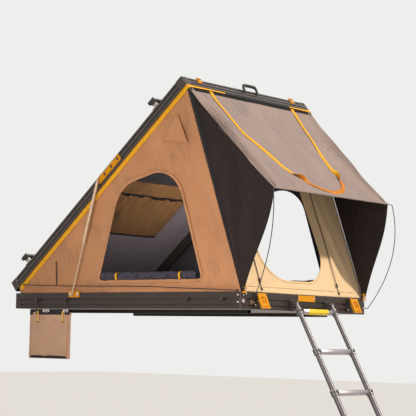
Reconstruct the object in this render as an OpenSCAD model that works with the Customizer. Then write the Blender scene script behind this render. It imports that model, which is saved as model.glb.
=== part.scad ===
// Wedge clamshell roof top tent, drawn open. Millimetres, +Z up, +X towards the door, the hinge at -X.
// The origin is at the middle of the base, on the plane that the mounting rails rest on.

/* [Shell] */
// Length of the shell, hinge end to door end
shell_l = 2150; // [2000:10:2300]
// Width of the shell
shell_w = 1400; // [1250:10:1500]
// Height of the base rails
base_h = 112; // [95:1:130]
// Height of the lid rails
lid_h = 75; // [65:1:95]
// Width of a rail in plan
rail_w = 45; // [38:1:60]
// Wall of the rails
rail_wall = 3; // [2:0.5:4]
// Angle of the open lid
open_angle = 40.3; // [34:0.1:44]
// Gap between the closed lid and the base, filled by the seal
lid_gap = 6; // [4:0.5:10]
// Length of a corner casting along each side
corner_l = 60; // [48:1:80]
// Radius of the upright shell corners
corner_r = 16; // [8:1:24]
// Wall of a corner casting
corner_t = 6; // [4:0.5:8]

/* [Accessory slots] */
// Width of a slot's mouth
slot_mouth = 9; // [6:0.5:10]
// Width of a slot behind its lips
slot_inner = 17; // [13:0.5:18]
// Depth of a slot
slot_depth = 9; // [7:0.5:11]
// Upper base slot, centre below the base top
slot_high = 48; // [44:1:54]
// Lower base slot, centre below the base top
slot_low = 86; // [78:1:88]
// Upper lid slot, centre above the lid underside
lid_slot_high = 53; // [48:1:56]
// Lower lid slot, centre above the lid underside
lid_slot_low = 22; // [18:1:26]

/* [Panels and bedding] */
// Thickness of the roof and floor panels
panel_t = 2; // [1:0.5:4]
// Thickness of the headliner
liner_t = 12; // [6:1:20]
// Thickness of the mattress at its edge
mattress_t = 58; // [40:1:70]
// Rise of the mattress crown
mattress_crown = 14; // [6:1:18]
// Clearance of a soft piece from what it lies against
soft_gap = 3; // [2:0.5:6]

/* [Mounting rails] */
// Height of a mounting rail
mount_h = 25; // [20:1:35]
// Width of a mounting rail
mount_w = 40; // [34:1:50]
// Length of a mounting rail
mount_l = 1850; // [1500:10:1950]
// Distance between the mounting rails, centre to centre
mount_pitch = 860; // [700:10:1000]
// Distance between the bolt slots along a rail
bolt_pitch = 1000; // [800:10:1200]
// Radius of a bolt slot's end
bolt_r = 4.5; // [3.5:0.5:6]
// Length of a bolt slot from end to end
bolt_slot_l = 60; // [40:1:80]

/* [Rear hinges] */
// Distance of the hinge axis behind the shell
hinge_out = 12; // [11:0.5:16]
// Radius of a hinge pin
hinge_pin_r = 5; // [4:0.5:6]
// Radius of a hinge knuckle
knuckle_r = 9; // [8:0.5:9.5]
// Radial clearance of every pin in its bore
pin_clear = 0.05; // [0.02:0.01:0.1]
// Width of a hinge leaf
leaf_w = 96; // [80:2:140]
// Height of a hinge leaf
leaf_h = 46; // [36:1:54]
// Thickness of a hinge leaf
leaf_t = 4; // [3:0.5:4]
// Distance of the outer hinges from the middle one
hinge_pitch = 480; // [380:10:540]

/* [Gas struts] */
// Base pin, distance from the rear end of the shell
strut_base_x = 619; // [560:1:680]
// Base pin, distance below the base top
strut_base_drop = 10; // [6:1:16]
// Lid pin, distance from the hinge axis along the lid
strut_lid_r = 1160; // [1100:5:1220]
// Lid pin, height above the hinge axis in the closed lid
strut_lid_h = 45; // [35:1:50]
// Distance of the strut's centre line outside the shell
strut_out = 22; // [20:1:30]
// Radius of the gas tube
tube_r = 11; // [9:0.5:14]
// Wall of the gas tube
tube_wall = 1.5; // [1:0.25:2]
// Length of the gas tube
tube_l = 450; // [400:5:460]
// Radius of the piston rod
rod_r = 5; // [4:0.5:6]
// Radius of a strut pin
strut_pin_r = 4; // [3:0.5:5]
// Radius of a strut eye
strut_eye_r = 10; // [8:0.5:12]
// Thickness of a strut bracket
bracket_t = 4; // [3:0.5:6]
// Height of a strut bracket
bracket_h = 44; // [36:1:50]
// Length of the lid bracket
lid_bracket_l = 260; // [200:5:320]
// Length of the base bracket
base_bracket_l = 106; // [80:2:140]

/* [Front fittings] */
// Distance of the latches inside the shell's sides
latch_in = 180; // [176:2:230]
// Width of a latch
latch_w = 96; // [80:2:100]
// Height of a latch plate
latch_h = 96; // [84:1:104]
// Width of a latch keeper
keeper_w = 40; // [30:2:56]
// Height of a keeper over the roof
keeper_rise = 14; // [8:1:18]
// Lever pin below the base top
lever_drop = 14; // [12:1:20]
// Angle of the hanging lever from upright
lever_angle = 24; // [15:1:40]
// Distance of the lever's pin from the base front
lever_out = 20; // [16:1:24]
// Width of the bare centre plate
plate_w = 190; // [140:5:240]
// Height of the bare centre plate
plate_h = 40; // [30:1:44]
// Width of the grab handle on the lid
handle_w = 170; // [140:5:220]
// Radius of the grab handle's bar
handle_r = 8; // [6:0.5:11]
// Height of the grab handle
handle_h = 42; // [38:1:56]
// Place of the handle across the lid
handle_y = 30; // [-60:5:60]

/* [Roof bars] */
// First bar, distance from the rear end of the lid
bar_rear = 235; // [180:5:300]
// Second bar, distance from the rear end of the lid
bar_front = 1850; // [1700:5:1950]
// Depth of a bar along the roof
bar_d = 60; // [40:1:80]
// Thickness of a bar
bar_t = 26; // [18:1:34]
// Height of the clamps under a bar
clamp_h = 42; // [30:1:60]
// Width of a clamp
clamp_w = 46; // [36:1:60]

/* [Ladder] */
// Offset of the ladder from the middle
ladder_y = 35; // [0:5:60]
// Distance between the rails, centre to centre
ladder_w = 400; // [340:5:440]
// Lean of the ladder from upright
ladder_lean = 29; // [20:1:34]
// Distance between the rungs when extended
rung_pitch = 304; // [270:2:320]
// Distance from the hook pin to the top rung
rung_first = 62; // [54:1:80]
// Distance of the hook pin from the base front
hook_out = 36; // [34:1:46]
// Hook pin below the base top
hook_drop = 60; // [52:1:72]
// Outer radius of the top rail tube
rail_tube_r = 16; // [14:0.5:17]
// Wall of every rail tube
rail_tube_wall = 1.5; // [1.2:0.1:2]
// Radial clearance between nested tubes
rail_tube_gap = 0.3; // [0.3:0.05:0.5]
// Length that a tube keeps inside the next
tube_overlap = 48; // [40:1:70]
// Height of the collar at each rung
collar_h = 40; // [34:1:46]
// Wall of a collar over its tube
collar_wall = 5; // [4:0.5:7]
// Least distance between collars when collapsed
collar_gap = 2; // [1:0.5:4]
// Depth of a rung from front to back
rung_d = 38; // [30:1:40]
// Thickness of a rung
rung_t = 26; // [20:1:32]
// Height of a foot
foot_h = 34; // [28:1:44]
// Thickness of a foot's rubber
foot_t = 5; // [4:0.5:6]
// Height of a hook plate
hook_plate_h = 48; // [44:1:54]
// Thickness of a hook's ears
hook_ear_t = 5; // [4:0.5:6]

/* [Canvas] */
// Thickness of the canvas solids
cloth_t = 2.5; // [2:0.5:4]
// Distance of the side walls inside the shell's sides
wall_in = 12; // [8:1:18]
// Height of the awning's front edge above the base top
eave_h = 668; // [560:4:760]
// Distance of the awning's front edge in front of the shell
eave_out = 216; // [150:4:320]
// Distance of the awning's front corners inside the shell's sides
eave_in = 50; // [20:2:120]
// Sag of the awning between the ridge and its front edge
awning_sag = 18; // [6:1:36]
// Depth of the folds in the awning's wings
wing_fold = 11; // [4:1:16]
// Bulge of the wings' free edges
wing_bulge = 18; // [6:1:30]
// Sill of the side windows above the base top
sill_h = 85; // [60:1:110]
// Rear lower corner of a side window, from the rear end
window_x0 = 855; // [800:5:900]
// Front lower corner of a side window, from the rear end
window_x1 = 1790; // [1740:5:1830]
// Height of a window's crown above the base top
window_top = 815; // [740:5:840]
// Radius of the rear shoulder of a window
window_r0 = 230; // [180:5:250]
// Radius of the front shoulder of a window
window_r1 = 240; // [180:5:250]
// Radius of a window's lower corners
window_corner = 20; // [12:1:30]
// Lean of a window's rear edge over its height
window_lean0 = 130; // [100:5:160]
// Lean of a window's front edge over its height
window_lean1 = 170; // [140:5:200]
// Drop of a window's rear shoulder below its crown
window_step = 40; // [20:5:60]
// Rear corner of a vent, from the rear end
vent_x0 = 1424; // [1410:2:1440]
// Front corner of a vent, from the rear end
vent_x1 = 1650; // [1630:2:1670]
// Rear corner of a vent above the base top
vent_h = 1034; // [1020:2:1044]
// Rise of a vent's apex over its rear corner
vent_rise = 126; // [100:2:130]
// Half the width of the door
door_half = 353; // [300:5:400]
// Offset of the door from the middle
door_y = -40; // [-60:5:0]
// Sill of the door along the front wall
door_sill = 98; // [70:1:130]
// Top of the door below the ridge, along the front wall
door_top_gap = 260; // [200:5:320]
// Radius of the door's lower corners
door_r = 250; // [180:5:290]
// Radius of a rolled window flap
roll_r = 30; // [22:1:32]
// Distance of a roll's ends inside the window's lower corners
roll_in = 36; // [32:1:50]
// Width of the orange webbing
webbing_w = 28; // [20:1:34]
// Thickness of the webbing
webbing_t = 2.4; // [1.6:0.2:3]
// Near front cord, distance from the middle
cord_near = 464; // [420:2:500]
// Far front cord, distance from the middle
cord_far = 404; // [370:2:440]
// Rear edge of the ceiling pocket, from the rear end of the lid
pocket_x0 = 640; // [560:5:700]
// Front edge of the ceiling pocket, from the rear end of the lid
pocket_x1 = 1045; // [960:5:1120]
// Width of the ceiling pocket
pocket_w = 720; // [600:10:800]
// Offset of the ceiling pocket from the middle
pocket_y = -40; // [-80:5:0]
// Swell of the ceiling pocket
pocket_crown = 26; // [16:1:32]
// Radius of the closing bungee and the front cords
bungee_r = 3; // [2:0.5:4]

/* [Awning rods] */
// Radius of a spring rod
spring_r = 3; // [2.5:0.25:4]
// Near rod's socket, distance inside the shell's side
near_socket_in = 108; // [90:2:112]
// Rod sockets below the base top
socket_drop = 66; // [62:1:76]
// Near rod's pivot in front of the base
near_socket_out = 14; // [12:1:20]
// Far rod's socket behind the base front
far_socket_in = 45; // [34:1:48]
// Far rod's stub outside the shell
far_stub = 105; // [80:1:130]
// Bow of the near rod
near_bow = 56; // [48:1:70]
// Bow of the far rod
far_bow = 105; // [60:1:130]

/* [Shoe bag] */
// Rear edge of the bag, from the rear end of the shell
bag_x = 196; // [180:2:210]
// Length of the bag
bag_l = 420; // [400:5:440]
// Height of the bag
bag_h = 330; // [280:5:380]
// Depth of the bag
bag_d = 26; // [18:2:34]
// Bag bar below the base top
bag_drop = 128; // [122:1:150]
// Distance of the bag bar outside the shell
bag_out = 24; // [20:1:34]
// Radius of the bag bar
bag_bar_r = 5; // [4:0.5:6]
// Radius of the slot knobs
knob_r = 12; // [9:0.5:13]
// First knob, from the rear end of the shell
knob_x1 = 249; // [235:1:260]
// Second knob, from the rear end of the shell
knob_x2 = 545; // [520:1:556]
// Third knob, from the rear end of the shell
knob_x3 = 1697; // [1640:1:1740]
// Fourth knob, from the rear end of the shell
knob_x4 = 2000; // [1950:1:2030]

/* [Hidden] */
$fn = 48;

charcoal = [0.24, 0.23, 0.23];
brown_grey = [0.36, 0.28, 0.23];
orange = [0.85, 0.55, 0.10];
canvas = [0.72, 0.50, 0.35];
dark_cloth = [0.22, 0.18, 0.18];
silver = [0.80, 0.78, 0.75];
black = [0.08, 0.08, 0.09];

rear_x = -shell_l / 2;
front_x = shell_l / 2;
side_y = shell_w / 2;
latch_y = side_y - latch_in;
eave_half = side_y - eave_in;
near_socket_y = side_y - near_socket_in;
top_z = mount_h + base_h;
lid_z = top_z + lid_gap;
hinge_x = rear_x - hinge_out;
hinge_z = top_z + lid_gap / 2;
touch = 0.4;
sections = 6;
hinge_ys = [-hinge_pitch, 0, hinge_pitch];

// Where a point of the closed lid lies with the lid open, as [x, z].
function lid_at(x, z) =
    let (dx = x - hinge_x, dz = z - hinge_z)
    [hinge_x + dx * cos(open_angle) - dz * sin(open_angle),
     hinge_z + dx * sin(open_angle) + dz * cos(open_angle)];
function xyz(p, y) = [p[0], y, p[1]];
function mix(a, b, t) = a + (b - a) * t;
function unit(v) = v / norm(v);
function bow(a, b, c, t) = mix(mix(a, b, t), mix(b, c, t), t);

ridge = lid_at(front_x - 6, lid_z - 5);
wall_foot = top_z + touch;
wall_y = side_y - wall_in;
eave = [front_x + eave_out, top_z + eave_h];

// Places its children on the lid: they are drawn with the lid closed.
module on_lid() {
    translate([hinge_x, 0, hinge_z])
        rotate([0, -open_angle, 0])
            translate([-hinge_x, 0, -hinge_z])
                children();
}

module both_sides() {
    children();
    mirror([0, 1, 0])
        children();
}

module bar_y(r, l) {
    rotate([90, 0, 0])
        cylinder(r = r, h = l, center = true);
}

module bar_x(r, l) {
    rotate([0, 90, 0])
        cylinder(r = r, h = l, center = true);
}

// A closed sheet over rows of points, as thick as the vector says.
module sheet(rows, thick) {
    nv = len(rows);
    nu = len(rows[0]);
    n = nv * nu;
    points = concat([for (r = rows) each r], [for (r = rows) for (p = r) p + thick]);
    skin = [for (i = [0:nv - 2], j = [0:nu - 2])
        let (a = i * nu + j, b = a + 1, c = b + nu, d = a + nu)
        each [[a, b, c], [a, c, d]]];
    rim = concat([for (j = [0:nu - 2]) j], [for (i = [0:nv - 2]) i * nu + nu - 1],
        [for (j = [nu - 1:-1:1]) (nv - 1) * nu + j], [for (i = [nv - 1:-1:1]) i * nu]);
    edge = [for (k = [0:len(rim) - 1])
        let (a = rim[k], b = rim[(k + 1) % len(rim)])
        each [[b, a, a + n], [b, a + n, b + n]]];
    back = [for (f = skin) [f[2] + n, f[1] + n, f[0] + n]];
    all = concat(skin, back, edge);
    turn = cross(rows[0][1] - rows[0][0], rows[1][0] - rows[0][0]) * thick;
    polyhedron(points, turn > 0 ? all : [for (f = all) [f[2], f[1], f[0]]]);
}

// A tube along points, with an oval section of half sizes a and b turned by twist.
module tube(path, a, b, sides, ref, twist = 0) {
    n = len(path);
    ring = function (i)
        let (t = unit(path[min(i + 1, n - 1)] - path[max(i - 1, 0)]),
             u = unit(cross(ref, t)), v = cross(t, u), turn = twist * i / (n - 1))
        [for (k = [0:sides - 1])
            let (w = 360 * k / sides, p = a * cos(w), q = b * sin(w))
            path[i] + u * (p * cos(turn) - q * sin(turn)) + v * (p * sin(turn) + q * cos(turn))];
    points = [for (i = [0:n - 1]) each ring(i)];
    skin = [for (i = [0:n - 2], k = [0:sides - 1])
        let (c = i * sides + k, d = i * sides + (k + 1) % sides)
        each [[c, d + sides, d], [c, c + sides, d + sides]]];
    caps = [for (k = [1:sides - 2])
        each [[0, k, k + 1], [(n - 1) * sides, (n - 1) * sides + k + 1, (n - 1) * sides + k]]];
    polyhedron(points, concat(skin, caps));
}

// A cushion: flat below, crowned above, with sides drawn in between its corners.
module pillow(l, w, edge, crown, pull, channels, nu, nv) {
    side = function (i, j)
        let (u = 2 * j / nu - 1, v = 2 * i / nv - 1)
        [l / 2 * u * (1 - pull * (1 - v * v)), w / 2 * v * (1 - pull * (1 - u * u))];
    up = function (i, j)
        let (u = 2 * j / nu - 1, v = 2 * i / nv - 1, swell = (1 - u ^ 4) * (1 - v ^ 4))
        edge + crown * swell * (channels == 0 ? 1 : 0.45 + 0.55 * abs(sin(90 * channels * (u + 1))));
    top = [for (i = [0:nv]) [for (j = [0:nu]) [each side(i, j), up(i, j)]]];
    low = [for (i = [0:nv], j = [0:nu]) [each side(i, j), 0]];
    n = (nu + 1) * (nv + 1);
    row = nu + 1;
    points = concat([for (r = top) each r], low);
    skin = [for (i = [0:nv - 1], j = [0:nu - 1])
        let (a = i * row + j, b = a + 1, c = b + row, d = a + row)
        each [[a, c, b], [a, d, c], [a + n, b + n, c + n], [a + n, c + n, d + n]]];
    rim = concat([for (j = [0:nu - 1]) j], [for (i = [0:nv - 1]) i * row + nu],
        [for (j = [nu:-1:1]) nv * row + j], [for (i = [nv:-1:1]) i * row]);
    edges = [for (k = [0:len(rim) - 1])
        let (a = rim[k], b = rim[(k + 1) % len(rim)])
        each [[a, b, a + n], [b, b + n, a + n]]];
    polyhedron(points, concat(skin, edges));
}

// Section of a hollow slotted rail: the outer face at x = 0, the body towards +x.
module rail_section(h, slots) {
    edge_r = rail_wall * 2;
    difference() {
        square([rail_w, h]);
        for (z = [0, h])
            translate([0, z])
                mirror([0, z > 0 ? 1 : 0])
                    difference() {
                        square(edge_r);
                        translate([edge_r, edge_r])
                            circle(edge_r);
                    }
        translate([slot_depth + rail_wall, rail_wall])
            square([rail_w - slot_depth - 2 * rail_wall, h - 2 * rail_wall]);
        for (z = slots) {
            translate([0, z - slot_mouth / 2])
                square([slot_depth, slot_mouth]);
            translate([rail_wall, z - slot_inner / 2])
                square([slot_depth - rail_wall, slot_inner]);
        }
    }
}

module rail_x(l, h, slots) {
    translate([-l / 2, 0, 0])
        rotate([90, 0, 90])
            linear_extrude(l)
                rail_section(h, slots);
}

base_slots = [base_h - slot_high, base_h - slot_low];
lid_slots = [lid_slot_low, lid_slot_high];

module side_rail(z, h, slots) {
    translate([0, -side_y, z])
        rail_x(shell_l - 2 * corner_l, h, slots);
}

module end_rail(z, h, slots) {
    translate([front_x, 0, z])
        rotate([0, 0, 90])
            rail_x(shell_w - 2 * corner_l, h, slots);
}

module corner_set(z, h) {
    for (sx = [0, 1], sy = [0, 1])
        mirror([sx, 0, 0])
            mirror([0, sy, 0])
                translate([rear_x, -side_y, z])
                    linear_extrude(h)
                        difference() {
                            square(corner_l);
                            difference() {
                                square(corner_r);
                                translate([corner_r, corner_r])
                                    circle(corner_r);
                            }
                            translate([corner_t, corner_t])
                                square(corner_l);
                        }
}

module base_rail_left() {
    color(brown_grey)
        side_rail(mount_h, base_h, base_slots);
}

module base_rail_right() {
    color(brown_grey)
        mirror([0, 1, 0])
            side_rail(mount_h, base_h, base_slots);
}

module base_rail_front() {
    color(brown_grey)
        end_rail(mount_h, base_h, base_slots);
}

module base_rail_rear() {
    color(brown_grey)
        mirror([1, 0, 0])
            end_rail(mount_h, base_h, base_slots);
}

module base_corners() {
    color(brown_grey)
        corner_set(mount_h, base_h);
}

module inner_plate(z, t) {
    translate([rear_x + rail_w, -side_y + rail_w, z])
        cube([shell_l - 2 * rail_w, shell_w - 2 * rail_w, t]);
}

module floor_panel() {
    color(silver)
        inner_plate(mount_h, panel_t);
}

// A box-section rail with two bolt slots in its lower wall.
module mounting_rail() {
    wall = rail_wall;
    translate([0, -mount_pitch / 2, 0])
        difference() {
            translate([-mount_l / 2, -mount_w / 2, 0])
                cube([mount_l, mount_w, mount_h]);
            translate([-mount_l / 2, -mount_w / 2 + wall, wall])
                cube([mount_l, mount_w - 2 * wall, mount_h - 2 * wall]);
            for (x = [-bolt_pitch / 2, bolt_pitch / 2])
                translate([x, 0, 0]) {
                    for (s = [-1, 1])
                        translate([s * (bolt_slot_l / 2 - bolt_r), 0, 0])
                            cylinder(r = bolt_r, h = wall);
                    translate([-bolt_slot_l / 2 + bolt_r, -bolt_r, 0])
                        cube([bolt_slot_l - 2 * bolt_r, 2 * bolt_r, wall]);
                }
        }
}

module mounting_rail_left() {
    color(silver)
        mounting_rail();
}

module mounting_rail_right() {
    color(silver)
        mirror([0, 1, 0])
            mounting_rail();
}

module mattress() {
    color("dimgray")
        translate([0, 0, mount_h + panel_t + touch])
            pillow(shell_l - 2 * rail_w - 2 * soft_gap, shell_w - 2 * rail_w - 2 * soft_gap,
                mattress_t, mattress_crown, 0.012, 5, 20, 12);
}

// Rear hinges: the pin runs through two base knuckles and one lid knuckle between them.
lid_knuckle_l = leaf_w / 3;

module knuckle_at(y, l) {
    translate([hinge_x, y, hinge_z])
        bar_y(knuckle_r, l);
}

module hinge_bore(y) {
    translate([hinge_x, y, hinge_z])
        bar_y(hinge_pin_r + pin_clear, leaf_w + 2);
}

module hinge_base_leaves() {
    outer_l = (leaf_w - lid_knuckle_l) / 2 - touch;
    color(charcoal)
        for (y = hinge_ys)
            difference() {
                union() {
                    translate([rear_x - leaf_t, y - leaf_w / 2, top_z - leaf_h])
                        cube([leaf_t, leaf_w, leaf_h - 3]);
                    for (s = [-1, 1])
                        translate([0, s * (leaf_w - outer_l) / 2, 0]) {
                            knuckle_at(y, outer_l);
                            translate([hinge_x, y - outer_l / 2, top_z - leaf_h / 2])
                                cube([hinge_out, outer_l, leaf_h / 2 - 3]);
                        }
                }
                hinge_bore(y);
            }
}

module hinge_lid_leaves() {
    inner_l = lid_knuckle_l - 2 * touch;
    plate_z = hinge_z + sqrt((knuckle_r + touch) ^ 2 - (hinge_out - leaf_t) ^ 2);
    color(charcoal)
        on_lid()
            for (y = hinge_ys)
                difference() {
                    union() {
                        translate([rear_x - leaf_t, y - leaf_w / 2, plate_z])
                            cube([leaf_t, leaf_w, leaf_h]);
                        knuckle_at(y, inner_l);
                        translate([hinge_x, y - inner_l / 2, hinge_z])
                            cube([hinge_out - leaf_t, inner_l, leaf_h / 2]);
                    }
                    hinge_bore(y);
                }
}

module hinge_pins() {
    color(silver)
        for (y = hinge_ys)
            translate([hinge_x, y, hinge_z])
                bar_y(hinge_pin_r, leaf_w);
}

// Gas struts. The rod turns on the base pin and the tube slides on the rod.
strut_y = side_y + strut_out;
strut_foot = [rear_x + strut_base_x, top_z - strut_base_drop];
strut_head = lid_at(hinge_x + strut_lid_r, hinge_z + strut_lid_h);
strut_span = norm(strut_head - strut_foot);
strut_tilt = atan2(strut_head[0] - strut_foot[0], strut_head[1] - strut_foot[1]);
rod_gland = 14;
strut_eye_l = 2 * rod_r + 4;
piston_h = 12;
tube_low = strut_span - strut_eye_r / 2 - tube_l;
rod_l = tube_low + rod_gland + piston_h + touch;

module strut_frame() {
    translate([strut_foot[0], -strut_y, strut_foot[1]])
        rotate([0, strut_tilt, 0])
            children();
}

module strut_rod() {
    strut_frame()
        difference() {
            union() {
                bar_y(strut_eye_r, strut_eye_l);
                cylinder(r = rod_r, h = rod_l);
                translate([0, 0, rod_l - piston_h])
                    cylinder(r = tube_r - tube_wall - touch, h = piston_h);
            }
            bar_y(strut_pin_r + pin_clear, 4 * strut_eye_r);
        }
}

module strut_tube() {
    low = tube_low;
    pin_l = strut_out - bracket_t - touch;
    strut_frame() {
        difference() {
            translate([0, 0, low])
                cylinder(r = tube_r, h = tube_l);
            translate([0, 0, low])
                cylinder(r = rod_r + pin_clear, h = tube_l / 2);
            translate([0, 0, low + rod_gland])
                cylinder(r = tube_r - tube_wall, h = tube_l - 2 * rod_gland);
        }
        translate([0, 0, strut_span]) {
            bar_y(strut_eye_r, strut_eye_l);
            translate([0, pin_l / 2, 0])
                bar_y(strut_pin_r, pin_l);
        }
    }
}

module strut_rod_left() {
    color(silver)
        strut_rod();
}

module strut_rod_right() {
    color(silver)
        mirror([0, 1, 0])
            strut_rod();
}

module strut_tube_left() {
    color(silver)
        strut_tube();
}

module strut_tube_right() {
    color(silver)
        mirror([0, 1, 0])
            strut_tube();
}

module strut_base_brackets() {
    color(orange)
        both_sides()
            translate([strut_foot[0], -side_y, strut_foot[1]]) {
                translate([-base_bracket_l / 2, -bracket_t, -bracket_h / 2])
                    cube([base_bracket_l, bracket_t, bracket_h]);
                translate([0, -(strut_out + strut_eye_l / 2) / 2, 0])
                    bar_y(strut_pin_r, strut_out + strut_eye_l / 2);
                for (x = [-1, 1])
                    translate([x * base_bracket_l * 0.36, -bracket_t, 0])
                        bar_y(strut_pin_r, bracket_t);
            }
}

module strut_lid_brackets() {
    color(orange)
        on_lid()
            both_sides()
                translate([hinge_x + strut_lid_r, -side_y, hinge_z + strut_lid_h]) {
                    translate([-strut_eye_r, -bracket_t, -bracket_h / 2])
                        cube([lid_bracket_l, bracket_t, bracket_h]);
                    for (x = [0.3, 0.6, 0.9])
                        translate([x * lid_bracket_l, -bracket_t, 0])
                            bar_y(strut_pin_r, bracket_t);
                }
}

// Latches: an orange lever hangs on a pin in each plate and swings up over a keeper on the lid.
lever_pin_r = 4;
lever_t = 5;
lever_z = top_z - lever_drop;
lever_l = lever_drop + lid_gap + lid_h + 6;
lever_tip = lever_z + lever_l;

module latch_plates() {
    ear_t = 4;
    color(charcoal)
        both_sides()
            translate([front_x, -latch_y, 0]) {
                translate([0, -latch_w / 2, top_z - latch_h])
                    cube([bracket_t, latch_w, latch_h - touch]);
                for (s = [-1, 1])
                    translate([0, s * (latch_w / 2 - ear_t / 2), lever_z]) {
                        translate([0, -ear_t / 2, -lever_pin_r * 2])
                            cube([lever_out, ear_t, lever_pin_r * 4]);
                        translate([lever_out, 0, 0])
                            bar_y(lever_pin_r * 2, ear_t);
                    }
                translate([lever_out, 0, lever_z])
                    bar_y(lever_pin_r, latch_w);
            }
}

module latch_lever() {
    w = latch_w - 10;
    translate([front_x + lever_out, -latch_y, lever_z])
        rotate([0, 180 - lever_angle, 0])
            difference() {
                union() {
                    bar_y(lever_pin_r * 2, w);
                    translate([-lever_t / 2, -w / 2, 0])
                        cube([lever_t, w, lever_l]);
                    translate([-lever_t / 2 - 12, -w / 2, lever_l - lever_t])
                        cube([12 + lever_t, w, lever_t]);
                    translate([lever_t / 2, -w / 2, lever_l * 0.42])
                        cube([9, w, lever_t]);
                    translate([lever_t / 2, -lever_t / 2, lever_pin_r])
                        cube([9, lever_t, lever_l - 2 * lever_pin_r]);
                }
                bar_y(lever_pin_r + pin_clear, latch_w);
            }
}

module latch_lever_left() {
    color(orange)
        latch_lever();
}

module latch_lever_right() {
    color(orange)
        mirror([0, 1, 0])
            latch_lever();
}

module latch_keepers() {
    color(orange)
        on_lid()
            both_sides()
                translate([front_x, -latch_y - keeper_w / 2, lid_z]) {
                    translate([0, 0, lid_h / 2])
                        cube([bracket_t, keeper_w, lid_h / 2 + keeper_rise]);
                    translate([0, 0, lever_tip - lid_z - lever_t - bracket_t - 1])
                        cube([lever_out - 8, keeper_w, bracket_t]);
                }
}

module centre_plate() {
    color(orange)
        translate([front_x, -plate_w / 2, top_z - plate_h - 4])
            cube([bracket_t / 2, plate_w, plate_h]);
}

handle_drop = 22;

module lid_handle() {
    color(black)
        on_lid()
            translate([front_x + 2 + handle_r, handle_y, roof_z]) {
                translate([0, 0, handle_h - handle_r])
                    bar_y(handle_r, handle_w - 2 * handle_r);
                for (s = [-1, 1])
                    translate([0, s * (handle_w / 2 - handle_r), 0]) {
                        translate([0, 0, -handle_drop])
                            cylinder(r = handle_r, h = handle_h - handle_r + handle_drop);
                        translate([0, 0, handle_h - handle_r])
                            sphere(handle_r);
                        translate([-handle_r - 2 + touch / 2, 0, -handle_drop])
                            rotate([0, 90, 0])
                                cylinder(r = handle_r * 1.6, h = handle_r + 2);
                    }
            }
}

// Knobs in the upper slot, and the hangers of the bag on the two rear ones.
knob_z = top_z - slot_high;
knob_shaft_r = 5;
knob_reach = 12;
near_knobs = [knob_x1, knob_x2, knob_x3, knob_x4];
far_knobs = [knob_x3, knob_x4];

module slot_knob(x) {
    translate([rear_x + x, -side_y, knob_z])
        rotate([90, 0, 0]) {
            translate([0, 0, -rail_wall])
                cylinder(r = slot_mouth / 2 - touch, h = rail_wall);
            cylinder(r = knob_shaft_r, h = knob_reach);
            translate([0, 0, knob_reach])
                cylinder(r = knob_r, h = 9);
            cylinder(r = knob_r - 2, h = 2.5);
        }
}

module slot_knobs() {
    color(black) {
        for (x = near_knobs)
            slot_knob(x);
        mirror([0, 1, 0])
            for (x = far_knobs)
                slot_knob(x);
    }
}

bag_bar_y = -side_y - bag_out;
bag_bar_z = top_z - bag_drop;

module bag_hangers() {
    loop_r = bag_bar_r + 4;
    eye_r = knob_shaft_r + 4;
    eye_t = 5;
    color(black)
        for (x = [knob_x1, knob_x2])
            translate([rear_x + x, 0, 0])
                difference() {
                    union() {
                        translate([0, -side_y - 6, knob_z])
                            bar_y(eye_r, eye_t);
                        translate([0, bag_bar_y, bag_bar_z])
                            bar_x(loop_r, 14);
                        hull() {
                            translate([0, -side_y - 6, knob_z - eye_r])
                                bar_y(3, eye_t);
                            translate([0, bag_bar_y, bag_bar_z + loop_r])
                                bar_y(3, eye_t);
                        }
                    }
                    translate([0, -side_y - 6, knob_z])
                        bar_y(knob_shaft_r + pin_clear, 2 * eye_t);
                    translate([0, bag_bar_y, bag_bar_z])
                        bar_x(bag_bar_r + pin_clear, 40);
                }
}

module shoe_bag() {
    round_r = 22;
    bag_gap = 12;
    bag_top = bag_bar_z - bag_gap;
    color(canvas) {
        translate([rear_x + bag_x + bag_l / 2, bag_bar_y, bag_bar_z]) {
            bar_x(bag_bar_r, bag_l - 2 * round_r);
            for (s = [-1, 0, 1])
                translate([s * bag_l / 4, 0, -bag_gap])
                    cube([24, bag_bar_r, 2 * bag_gap], center = true);
        }
        hull()
            for (x = [round_r, bag_l - round_r], z = [bag_top - round_r, bag_top - bag_h + round_r])
                translate([rear_x + bag_x + x, bag_bar_y, z])
                    rotate([90, 0, 0])
                        cylinder(r = round_r, h = bag_d, center = true, $fn = 24);
    }
}

// Ladder: local z runs up along the rails, with zero at the hook pins.
hook_pin = [front_x + hook_out, top_z - hook_drop];
hook_pin_r = 6;
hook_ys = [ladder_y - ladder_w / 2, ladder_y + ladder_w / 2];

module ladder_frame() {
    translate([hook_pin[0], ladder_y, hook_pin[1]])
        rotate([0, -ladder_lean, 0])
            children();
}

function tube_outer(k) = rail_tube_r + (k - 1) * (rail_tube_wall + rail_tube_gap);
function collar_of(k) = tube_outer(k) + collar_wall;
function rung_s(k) = rung_first + (k - 1) * rung_pitch;
foot_room = max(4, tube_overlap - collar_h - collar_gap + 4);
function tube_end(k) = rung_s(k) + rung_pitch + (k < sections ? tube_overlap : foot_room);

module ladder_hooks() {
    ear_t = hook_ear_t;
    gap = 2 * rail_tube_r + 2 * touch;
    color(charcoal)
        for (y = hook_ys)
            translate([front_x, y, hook_pin[1]]) {
                translate([0, -gap / 2 - 2 * ear_t, -hook_plate_h * 0.46])
                    cube([bracket_t, gap + 4 * ear_t, hook_plate_h]);
                for (s = [-1, 1])
                    translate([0, s * (gap + ear_t) / 2, 0]) {
                        translate([0, -ear_t / 2, -hook_pin_r * 2])
                            cube([hook_out, ear_t, hook_pin_r * 4]);
                        translate([hook_out, 0, 0])
                            bar_y(hook_pin_r * 2, ear_t);
                    }
                translate([hook_out, 0, 0])
                    bar_y(hook_pin_r, gap + 2 * ear_t);
            }
}

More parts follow.
